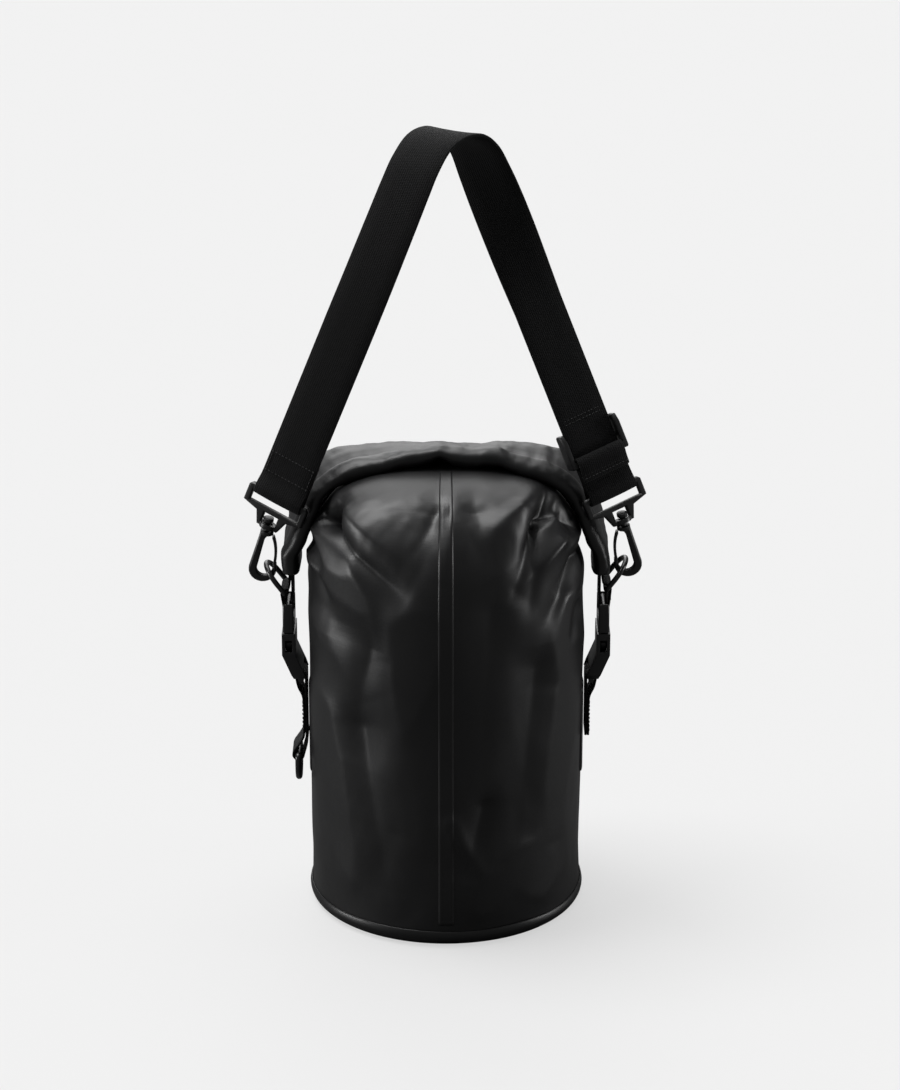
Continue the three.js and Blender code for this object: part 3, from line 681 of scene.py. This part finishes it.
def seeded_noise(grid, scale, seed):
    flat = grid.reshape(-1, 3)
    shift = Vector((seed * 7.1, seed * 3.3, seed * 5.7))
    values = [noise.fractal(Vector((p[0] * scale[0], p[1] * scale[1], p[2] * scale[2])) + shift, 0.8, 2.0, 3)
              for p in flat]
    return np.array(values).reshape(grid.shape[:2])


def creased(grid):
    """The body with its creases, dents and the soft unevenness of a filled bag."""
    normal = grid_normals(grid)
    x, y, z = grid[..., 0], grid[..., 1], grid[..., 2]
    seam_side = 0.5 - 0.5 * np.tanh(y / (9 * MM))
    folds = fold_field(x, z, SEAM_SIDE_FOLDS) * seam_side + fold_field(x, z, FAR_SIDE_FOLDS) * (1 - seam_side)
    broad = seeded_noise(grid, (9, 9, 6), 1) * 1.9 * MM
    slack = seeded_noise(grid, (24, 24, 12), 2) * 0.7 * MM
    neck = np.clip((z - 0.27) / 0.06, 0, 1)
    gathers = seeded_noise(grid, (42, 42, 14), 3) * 0.9 * MM * neck
    foot = np.clip((z - 0.012) / 0.03, 0, 1)
    under_strap = 1 - np.exp(-(y / (34 * MM)) ** 2) * np.exp(-((z - 0.15) / 0.10) ** 2) * 0.92
    hem = np.clip((grid[-1, :, 2][None, :] - z) / 0.012, 0, 1)
    amount = (folds * settings().fold_depth + broad + slack + gathers) * foot * under_strap * hem
    shape = grid + normal * amount[..., None]
    radius = np.hypot(shape[..., 0], shape[..., 1])
    limit = BODY_RADIUS + 1.6 * MM
    shape[..., :2] *= np.minimum(1, limit / np.maximum(radius, 1e-9))[..., None]
    return shape


class ROPEBAG_OT_body(bpy.types.Operator):
    """Build the coated fabric body with its creases"""
    bl_idname = "rope_bag.body"
    bl_label = "Body"

    def execute(self, context):
        columns = settings().body_columns
        outer = creased(body_grid(columns))
        inner = outer - grid_normals(outer) * settings().fabric_thickness
        loop = np.concatenate([outer, inner[::-1]], 0)
        rings = [[Vector(p) for p in row] for row in loop]
        body = loft("body_fabric", rings, "coated_fabric", endless=True)
        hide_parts("bag_body")
        blend_neck(body)
        seam_tape(outer)
        return {"FINISHED"}


def blend_neck(piece):
    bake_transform(piece)


def seam_tape(outer):
    """The welded tape over the seam, lying on the body from the rim to the roll."""
    normal = grid_normals(outer)
    columns = outer.shape[1]
    step = 2 * math.pi * BODY_RADIUS / columns
    reach = SEAM_TAPE_WIDTH / 2 / step
    offsets = np.linspace(-reach, reach, 9)
    rings = []
    for row in range(3, outer.shape[0] - 3):
        lower = []
        upper = []
        for offset in offsets:
            base = int(math.floor(offset))
            part = offset - base
            a, b = base % columns, (base + 1) % columns
            here = outer[row, a] * (1 - part) + outer[row, b] * part
            away = normal[row, a] * (1 - part) + normal[row, b] * part
            edge = abs(offset) / reach
            ridge = 0.30 * MM * math.exp(-((edge - 0.80) / 0.09) ** 2)
            rib = 0.10 * MM * math.sin(row * 2.4) * (1 if row < 40 else 0.25)
            top = 0.55 * MM + ridge + rib if edge < 0.97 else 0.12 * MM
            upper.append(Vector(here + away * top))
            lower.append(Vector(here - away * 0.25 * MM))
        rings.append(upper + lower[::-1])
    tape = loft("seam_tape", rings, "weld_band")
    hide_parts("back_seam_tape")
    blend_neck(tape)


class ROPEBAG_OT_base(bpy.types.Operator):
    """Build the welded base cup and the side patches"""
    bl_idname = "rope_bag.base"
    bl_label = "Base and patches"

    def execute(self, context):
        base_cup()
        for name, sign in SIDES:
            side_patch(name, sign)
        return {"FINISHED"}


def base_cup():
    top = BASE_HIGH.z
    corner = 8.5 * MM
    outline = [(0.0, 0.0), (0.05, 0.0), (BASE_RADIUS - corner - 6 * MM, 0.0)]
    outline += [(BASE_RADIUS - corner + corner * math.sin(t), corner - corner * math.cos(t))
                for t in np.linspace(0, math.pi / 2, 10)]
    outline += [(BASE_RADIUS - 0.5 * MM, top - 1.2 * MM), (BASE_RADIUS - 0.9 * MM, top - 0.2 * MM),
                (BASE_RADIUS - 1.3 * MM, top)]
    outline += [(BASE_RADIUS - 1.6 * MM, top - 1 * MM), (BASE_RADIUS - 1.7 * MM, corner)]
    outline += [(BASE_RADIUS - 8.4 * MM, 2.4 * MM), (0.05, 2.2 * MM), (0.0, 2.2 * MM)]
    columns = 200
    points = []
    faces = []
    for radius, height in outline:
        if radius == 0:
            points.append(Vector((0, 0, height)))
            continue
        for i in range(columns):
            angle = 2 * math.pi * i / columns
            wave = noise.noise(Vector((math.cos(angle) * 2.2, math.sin(angle) * 2.2, 0.4)))
            lift = min(height / top, 1)
            grown = radius + 0.7 * MM * wave * lift - 0.35 * MM * lift
            raised = height + (0.9 * MM * wave * lift if height > 2.5 * MM else 0)
            points.append(Vector((grown * math.cos(angle), grown * math.sin(angle), raised)))
    rings = len(outline) - 2
    last = len(points) - 1
    for i in range(columns):
        k = (i + 1) % columns
        faces.append((0, 1 + k, 1 + i))
        for ring in range(rings - 1):
            a = 1 + ring * columns
            b = a + columns
            faces.append((a + i, a + k, b + k, b + i))
        tail = 1 + (rings - 1) * columns
        faces.append((last, tail + i, tail + k))
    cup = outward(mesh_from("base_cup", points, faces, "weld_band"))
    settle(cup, ["base_panel"])


def side_patch(name, sign):
    """A rounded patch welded to the body behind the side webbing."""
    rows, columns = 40, 22
    rings = []
    for i in range(rows + 1):
        v = -1 + 2 * i / rows
        height = PATCH_MIDDLE_Z + v * PATCH_HALF_HEIGHT
        rest = max(abs(v) * PATCH_HALF_HEIGHT - (PATCH_HALF_HEIGHT - PATCH_CORNER), 0)
        half = PATCH_HALF_WIDTH - PATCH_CORNER + math.sqrt(max(PATCH_CORNER ** 2 - rest ** 2, 0))
        upper = []
        lower = []
        for j in range(columns + 1):
            u = -1 + 2 * j / columns
            angle = u * half / BODY_RADIUS
            rim = max(abs(u), abs(v) ** 6)
            press = 0.22 * MM * math.exp(-((rim - 0.86) / 0.05) ** 2)
            proud = (0.95 * MM - press) if rim < 0.985 else 0.45 * MM
            for ring, radius in ((upper, BODY_RADIUS + 0.35 * MM + proud), (lower, BODY_RADIUS + 0.1 * MM)):
                ring.append(Vector((sign * radius * math.cos(angle), radius * math.sin(angle), height)))
        rings.append(upper + lower[::-1])
    settle(loft(f"weld_patch_{name}", rings, "weld_band"), [], "bag")


# ---- webbing

def leg_axes(name):
    origin, along, twist = LEGS[name]
    along = along.normalized()
    back = along.cross(Vector((1, 0, 0))).normalized()
    across = back.cross(along).normalized()
    width = across * math.cos(twist) + back * math.sin(twist)
    return origin, width, along.cross(width), along


def leg_point(name, depth, height, side=0.0):
    origin, width, back, along = leg_axes(name)
    return origin + width * side + back * (depth * MM) + along * (height * MM)


# The strap's ends round their bars: how far in front (-) or behind, and how far up the leg, in mm
LEFT_EYE = [(2.6, 59), (2.6, 48), (2.7, 37), (3.4, 31), (4.1, 27), (4.1, 23.8), (2.9, 20.9), (0, 19.9),
            (-2.9, 20.9), (-4.1, 23.8), (-4.1, 27), (-2.4, 31.5), (-0.3, 37), (0, 46)]
RIGHT_EYE = [(0, 46), (0, 38), (1.6, 32), (4.1, 27), (4.1, 23.8), (2.9, 20.9), (0, 19.9), (-2.9, 20.9),
             (-4.1, 23.8), (-4.1, 27), (-3.4, 31), (-2.8, 35.8)]
RETURN_PLY = [(-2.8, 35.2), (-2.75, 42), (-2.55, 48), (-2.45, 54), (-3.3, 56.3), (-5.4, 57), (-7.5, 56.3),
              (-8.45, 54), (-8.3, 50.5), (-7.3, 46.5), (-6.7, 43), (-6.6, 40.3), (-5.9, 39.5), (-5.2, 40.4),
              (-5.2, 43.5)]


class ROPEBAG_OT_shoulder_strap(bpy.types.Operator):
    """Build the shoulder strap and the end that the slider holds"""
    bl_idname = "rope_bag.shoulder_strap"
    bl_label = "Shoulder strap"

    def execute(self, context):
        left = [leg_point("left", d, h) for d, h in LEFT_EYE]
        right = [leg_point("right", d, h) for d, h in RIGHT_EYE]
        rise = [leg_point("left", 0, h) for h in LEG_HEIGHTS]
        fall = [leg_point("right", 0, h) for h in reversed(LEG_HEIGHTS)]
        top = [Vector(p) * MM for p in STRAP_TOP]
        eye_a = smooth_path(left, 60)
        sweep = smooth_path([left[-1], *rise, *top, *fall, right[0]], 200)
        eye_b = smooth_path(right, 54)
        start = leg_axes("left")[1]
        end = leg_axes("right")[1]
        widths = [start] * len(eye_a)
        for i in range(1, len(sweep)):
            t = min(max((i / (len(sweep) - 1) - 0.22) / 0.56, 0), 1)
            widths.append(start.lerp(CROWN_WIDTH, 2 * t) if t < 0.5 else CROWN_WIDTH.lerp(end, 2 * t - 1))
        widths += [end] * (len(eye_b) - 1)
        path = eye_a + sweep[1:] + eye_b[1:]
        piece = ribbon("strap_webbing", path, widths, STRAP_WIDTH, 2.4 * MM, cup=0.5 * MM)
        settle(piece, ["shoulder_strap"])
        back_end = smooth_path([leg_point("right", d, h) for d, h in RETURN_PLY], 90)
        tail = ribbon("return_webbing", back_end, end, 39.6 * MM, 2.2 * MM)
        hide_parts("adjuster_webbing")
        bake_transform(tail)
        return {"FINISHED"}


def side_ribbon(name, path, sign, node, thickness):
    """Side webbing whose path is drawn in X and Z for the left side, in mm."""
    points = [Vector((-sign * x * MM, 0, z * MM)) for x, z in path]
    steps = max(40, int(sum((b - a).length for a, b in zip(points, points[1:])) / (0.9 * MM)))
    piece = ribbon(name, smooth_path(points, steps), Vector((0, 1, 0)), SIDE_WEBBING_WIDTH, thickness)
    settle(piece, [node])


class ROPEBAG_OT_side_webbing(bpy.types.Operator):
    """Build the side straps and the tabs at the ends of the roll"""
    bl_idname = "rope_bag.side_webbing"
    bl_label = "Side webbing"

    def execute(self, context):
        inner, outer = -107.05, -108.95
        socket = (-110.5, 180.7)
        over_bar = arc(socket, 3.65, 190, -12)
        for name, sign in SIDES:
            upper = [(outer, 137), (outer, 163), (-112.6, 173.5), *over_bar, (-106.95, 173), (inner, 164)]
            if sign < 0:
                ring = (-113.5, 117.5)
                lower = [(inner, 149), (inner, 135), (-106.9, 128),
                         *arc(ring, 3.95, 0, -180), (-116.4, 121), (-110.6, 130)]
                path = [*lower, *upper, (inner, 150.5)]
            else:
                path = [(outer, 134.2), *upper, (inner, 134.2)]
            side_ribbon(f"side_webbing_{name}", path, sign, f"side_strap_{name}", 1.8 * MM)
            ring_z = JOINTS[f"ring_{name}_swing"]["pos_m"][2] / MM
            tab = [(-116.2, ROLL_END_Z / MM + 3), (-116.2, 258), (-116.1, 248), (-116.2, 242),
                   *arc((-119.5, 239.3), 3.55, -5, -175), (-123.6, 243.5), (-124.5, ring_z - 1),
                   *arc((-121.0, ring_z), 3.45, 178, 95, 4), (-118.6, ring_z + 5.5),
                   (-118.1, ROLL_END_Z / MM + 3)]
            side_ribbon(f"tab_webbing_{name}", tab, sign, f"end_tab_{name}", 1.6 * MM)
        return {"FINISHED"}


# ---- fittings

PLASTIC_NODES = [
    "strap_slider",
    *(f"{stem}_{side}" for side, _ in SIDES
      for stem in ("buckle_female", "buckle_male", "hook_frame", "hook", "hook_gate")),
    *(f"prong_{side}_{face}" for side, _ in SIDES for face in ("front", "back")),
]
# Radius of the rounded edges of each kind of fitting, in mm
EDGE_ROUND = {"strap_slider": 0.5, "buckle_female": 0.55, "buckle_male": 0.45, "hook_frame": 0.45,
              "hook": 0.7, "hook_gate": 0.3, "prong": 0.3}


def moulded(node):
    """A moulded copy of a fitting: one clean skin with rounded edges."""
    mesh = frame["nodes"][node].data.copy()
    bm = bmesh.new()
    bm.from_mesh(mesh)
    bmesh.ops.remove_doubles(bm, verts=bm.verts, dist=0.02 * MM)
    bmesh.ops.dissolve_limit(bm, angle_limit=math.radians(1.5), verts=bm.verts, edges=bm.edges)
    bm.to_mesh(mesh)
    bm.free()
    mesh.materials.clear()
    piece = new_object(f"moulded_{node}", mesh, "acetal")
    stem = next(key for key in sorted(EDGE_ROUND, key=len, reverse=True) if node.startswith(key))
    bevel = piece.modifiers.new("rounded edges", "BEVEL")
    bevel.width = EDGE_ROUND[stem] * MM
    bevel.segments = 3
    bevel.limit_method = "ANGLE"
    bevel.angle_limit = math.radians(32)
    bevel.use_clamp_overlap = True
    finished = finished_mesh(piece)
    piece.modifiers.clear()
    piece.data = finished
    finished.set_sharp_from_angle(angle=math.radians(38))
    settle(piece, [node])


class ROPEBAG_OT_fittings(bpy.types.Operator):
    """Build the moulded buckles, hooks and slider"""
    bl_idname = "rope_bag.fittings"
    bl_label = "Moulded fittings"

    def execute(self, context):
        for node in PLASTIC_NODES:
            moulded(node)
        return {"FINISHED"}


def d_ring(name, node, bar, direction, depth, wire):
    """A D-ring of round section: a bar along Y, two arms and a bow."""
    radius = 15 * MM
    corner = 3 * MM
    straight = depth - radius
    outline = [*arc((radius - corner, corner), corner, -90, 0, 6), *arc((0, straight), radius, 0, 180, 36),
               *arc((corner - radius, corner), corner, 180, 270, 6)]
    outline += [((-1 + 2 * i / 9) * (radius - corner), 0.0) for i in range(1, 9)]
    points = [bar + Vector((0, a, 0)) + direction * b for a, b in outline]
    flat = Vector((0, 1, 0)).cross(direction).normalized()
    rings = []
    for i, here in enumerate(points):
        along = (points[(i + 1) % len(points)] - points[i - 1]).normalized()
        across = along.cross(flat).normalized()
        rings.append([here + across * (wire * math.cos(t)) + flat * (wire * math.sin(t))
                      for t in np.linspace(0, 2 * math.pi, 18, endpoint=False)])
    settle(loft(name, rings, "ring", endless=True), [node])


class ROPEBAG_OT_rings(bpy.types.Operator):
    """Build the D-rings"""
    bl_idname = "rope_bag.rings"
    bl_label = "D-rings"

    def execute(self, context):
        for name, sign in SIDES:
            bar = Vector(JOINTS[f"ring_{name}_swing"]["pos_m"])
            direction = Vector((sign * math.sin(RING_TILT), 0, math.cos(RING_TILT)))
            d_ring(f"d_ring_{name}", f"ring_{name}", bar, direction, 25 * MM, 2 * MM)
        bar = Vector(JOINTS["lower_ring_swing"]["pos_m"])
        d_ring("d_ring_lower", "lower_ring_left", bar, Vector((0, 0, -1)), 21.5 * MM, 2.5 * MM)
        return {"FINISHED"}


# ---- stitches

def stitch_tree():
    """Geometry Nodes: one thread bead for each step along the seam lines."""
    tree = bpy.data.node_groups.new("stitch_rows", "GeometryNodeTree")
    for label, kind, default in (
            ("Geometry", "Geometry", None), ("Spacing", "Float", 2.9 * MM),
            ("Stitch Length", "Float", 2.2 * MM), ("Thread Width", "Float", 0.62 * MM),
            ("Material", "Material", None)):
        add_socket(tree, label, "INPUT", f"NodeSocket{kind}", default)
    add_socket(tree, "Geometry", "OUTPUT", "NodeSocketGeometry")
    nodes = tree.nodes
    inside = nodes.new("NodeGroupInput")
    outside = nodes.new("NodeGroupOutput")
    curve = nodes.new("GeometryNodeMeshToCurve")
    resample = nodes.new("GeometryNodeResampleCurve")
    resample.mode = "LENGTH"
    tangent = nodes.new("GeometryNodeInputTangent")
    turn = nodes.new("FunctionNodeAlignRotationToVector")
    turn.axis = "Z"
    bead = nodes.new("GeometryNodeMeshUVSphere")
    set_inputs(bead, {"Segments": 8, "Rings": 6, "Radius": 0.5})
    size = nodes.new("ShaderNodeCombineXYZ")
    place = nodes.new("GeometryNodeInstanceOnPoints")
    realize = nodes.new("GeometryNodeRealizeInstances")
    colour = nodes.new("GeometryNodeSetMaterial")
    for source, leaving, target, entering in (
            (inside, "Geometry", curve, "Mesh"),
            (curve, "Curve", resample, "Curve"),
            (inside, "Spacing", resample, "Length"),
            (tangent, "Tangent", turn, "Vector"),
            (inside, "Thread Width", size, "X"),
            (inside, "Thread Width", size, "Y"),
            (inside, "Stitch Length", size, "Z"),
            (resample, "Curve", place, "Points"),
            (bead, "Mesh", place, "Instance"),
            (turn, "Rotation", place, "Rotation"),
            (size, "Vector", place, "Scale"),
            (place, "Instances", realize, "Geometry"),
            (realize, "Geometry", colour, "Geometry"),
            (inside, "Material", colour, "Material"),
            (colour, "Geometry", outside, "Geometry")):
        tree.links.new(source.outputs[leaving], target.inputs[entering])
    return tree


def set_input(modifier, name, value):
    sockets = modifier.node_group.interface.items_tree
    identifier = next(s.identifier for s in sockets if s.name == name and s.in_out == "INPUT")
    modifier[identifier] = value


def sew(name, lines, body, tree):
    """Stitches along straight lines, as one plain mesh on one body."""
    mesh = bpy.data.meshes.new(name)
    points = [p for line in lines for p in line]
    mesh.from_pydata(points, [(2 * i, 2 * i + 1) for i in range(len(lines))], [])
    guide = placed(name + "_guide", mesh)
    modifier = guide.modifiers.new("stitches", "NODES")
    modifier.node_group = tree
    set_input(modifier, "Spacing", settings().stitch_spacing)
    set_input(modifier, "Stitch Length", settings().stitch_length)
    set_input(modifier, "Material", MATERIALS["thread"])
    finished = finished_mesh(guide)
    bpy.data.objects.remove(guide)
    piece = placed(name, finished)
    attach(piece, body)


# Half the width that the stitching takes up on the strap and on the side webbing, in mm
STRAP_SEWN = 17.5
SIDE_SEWN = 10.5
# Lower and upper end of each sewn box: along the left leg, and up the side webbing, in mm
LEG_BOX = (40, 55.5)
SIDE_BOX = (138, 161)
# Sewn lines across the tabs at the ends of the roll (X, Z in mm)
TAB_LINES = ((118.95, 262), (124.75, 245.2), (115.4, 245.2))


def leg_row(leg, depth, height):
    return tuple(leg_point(leg, depth, height, side * MM) for side in (-STRAP_SEWN, STRAP_SEWN))


def side_line(x, y0, z0, y1, z1):
    """A sewn line on side webbing, from its places in mm."""
    return Vector((x, y0, z0)) * MM, Vector((x, y1, z1)) * MM


class ROPEBAG_OT_stitching(bpy.types.Operator):
    """Sew the ends of all webbing"""
    bl_idname = "rope_bag.stitching"
    bl_label = "Stitching"

    def execute(self, context):
        tree = stitch_tree()
        strap = []
        for face in (-1.25, 3.85):
            strap += [leg_row("left", face, h) for h in LEG_BOX]
            strap += [tuple(leg_point("left", face, h, side * MM) for h in LEG_BOX)
                      for side in (-STRAP_SEWN, STRAP_SEWN)]
        strap += [leg_row("right", face, h) for h in (83.5, 86.5) for face in (-1.3, 1.3)]
        sew("strap_stitches", strap, "strap", tree)
        sew("slider_stitches", [leg_row("right", -7.75, h) for h in (41.6, 44.2)], "slider", tree)
        low, high = SIDE_BOX
        bag = []
        tabs = []
        for _, sign in SIDES:
            x = sign * 109.9
            bag += [side_line(x, -SIDE_SEWN, z, SIDE_SEWN, z) for z in SIDE_BOX]
            bag += [side_line(x, y, low, y, high) for y in (-SIDE_SEWN, SIDE_SEWN)]
            bag += [side_line(x, -y, low, y, high) for y in (SIDE_SEWN, -SIDE_SEWN)]
            tabs += [side_line(sign * out, -SIDE_SEWN, z, SIDE_SEWN, z) for out, z in TAB_LINES]
        sew("side_stitches", bag, "bag", tree)
        sew("tab_stitches", tabs, "closure", tree)
        return {"FINISHED"}


# ---- stage

VIEW_DISTANCE = 2.6
VIEW_ELEVATION = math.radians(20)
VIEW_CENTRE = Vector((0.003, 0, 0.285))
VIEW_HEIGHT = 0.824
WORLD_FILL = 0.19
FLOOR_GLOW = 0.60
FLOOR_HALF = 9.0
# Lights: name, the side that it comes from, power, and how wide it is in degrees
LIGHTS = [
    ("key_light", (-0.9, 0.25, 2.2), 2.9, 34), ("top_light", (0.1, 0.9, 2.2), 1.5, 50),
    ("back_light", (-0.3, 2.2, 1.0), 0.9, 40), ("left_light", (-2.1, -0.2, 0.16), 1.9, 20),
    ("right_light", (2.2, 0.05, 0.18), 1.3, 20),
]


def grey(level):
    return (level, level, level, 1)


def soft_sun(name, place, power, spread):
    """Even light from far away, coming from the side of the given place."""
    data = bpy.data.lights.new(name, "SUN")
    data.energy = power
    data.angle = math.radians(spread)
    placed(name, data).rotation_euler = (-Vector(place)).to_track_quat("-Z", "Y").to_euler()


def split_for_camera(tree, lighting, seen, output):
    """One shader that lights the scene, and another that the camera sees."""
    path = tree.nodes.new("ShaderNodeLightPath")
    mix = tree.nodes.new("ShaderNodeMixShader")
    tree.links.new(path.outputs["Is Camera Ray"], mix.inputs[0])
    tree.links.new(lighting.outputs[0], mix.inputs[1])
    tree.links.new(seen.outputs[0], mix.inputs[2])
    tree.links.new(mix.outputs[0], tree.nodes[output].inputs["Surface"])


def light_world(tree):
    """A dim even fill, seen by the camera as a pale backdrop."""
    fill = tree.nodes["Background"]
    set_inputs(fill, {"Color": grey(0.9), "Strength": WORLD_FILL})
    backdrop = tree.nodes.new("ShaderNodeBackground")
    backdrop.inputs["Color"].default_value = grey(0.89)
    split_for_camera(tree, fill, backdrop, "World Output")


def floor_material():
    """A pale glowing floor for the camera that throws little light back on the bag."""
    material, tree, shader, coords = new_material("pale_floor")
    shade = noise_node(tree, coords.outputs["Object"], 3.0)
    tree.links.new(colour_mix(tree, shade, grey(0.17), grey(0.173)), shader.inputs["Base Color"])
    set_inputs(shader, {"Roughness": 0.9, "Specular IOR Level": 0.0, "Emission Color": grey(1),
                        "Emission Strength": FLOOR_GLOW})
    dim = tree.nodes.new("ShaderNodeBsdfDiffuse")
    dim.inputs["Color"].default_value = grey(0.09)
    split_for_camera(tree, dim, shader, "Material Output")
    return material


class ROPEBAG_OT_stage(bpy.types.Operator):
    """Build the floor, the lights and the camera"""
    bl_idname = "rope_bag.stage"
    bl_label = "Stage"

    def execute(self, context):
        floor = bpy.data.meshes.new("studio_floor")
        corners = [(x * FLOOR_HALF, y * FLOOR_HALF, 0) for x, y in ((-1, -1), (1, -1), (1, 1), (-1, 1))]
        floor.from_pydata(corners, [], [(0, 1, 2, 3)])
        floor.materials.append(floor_material())
        ground = placed("studio_floor", floor)
        world = bpy.data.worlds.new("studio")
        world.use_nodes = True
        light_world(world.node_tree)
        context.scene.world = world
        for name, place, power, spread in LIGHTS:
            soft_sun(name, place, power, spread)
        camera = placed("camera", bpy.data.cameras.new("camera"))
        offset = Vector((0, -math.cos(VIEW_ELEVATION), math.sin(VIEW_ELEVATION))) * VIEW_DISTANCE
        camera.location = VIEW_CENTRE + offset
        camera.rotation_euler = (-offset).to_track_quat("-Z", "Y").to_euler()
        camera.data.sensor_fit = "VERTICAL"
        camera.data.angle = 2 * math.atan(VIEW_HEIGHT / 2 / VIEW_DISTANCE)
        context.scene.camera = camera
        context.scene.view_settings.view_transform = "Standard"
        return {"FINISHED"}


# ---- panel and registration

STEPS = [
    ROPEBAG_OT_stage, ROPEBAG_OT_materials, ROPEBAG_OT_roll, ROPEBAG_OT_body, ROPEBAG_OT_base,
    ROPEBAG_OT_shoulder_strap, ROPEBAG_OT_side_webbing, ROPEBAG_OT_fittings, ROPEBAG_OT_rings,
    ROPEBAG_OT_stitching,
]


class ROPEBAG_PT_panel(bpy.types.Panel):
    """The bag's settings and building steps"""
    bl_idname = "ROPEBAG_PT_panel"
    bl_label = "Rope bag"
    bl_space_type = "VIEW_3D"
    bl_region_type = "UI"
    bl_category = "Rope bag"

    def draw(self, context):
        for name in BagSettings.__annotations__:
            self.layout.prop(context.scene.rope_bag, name)
        for step in STEPS:
            self.layout.operator(step.bl_idname)


CLASSES = [BagSettings, *STEPS, ROPEBAG_PT_panel]


def register():
    for cls in CLASSES:
        bpy.utils.register_class(cls)
    bpy.types.Scene.rope_bag = PointerProperty(type=BagSettings)


def unregister():
    del bpy.types.Scene.rope_bag
    for cls in reversed(CLASSES):
        bpy.utils.unregister_class(cls)


def main():
    register()
    for step in STEPS:
        group, name = step.bl_idname.split(".")
        getattr(getattr(bpy.ops, group), name)()


if __name__ == "__main__":
    main()
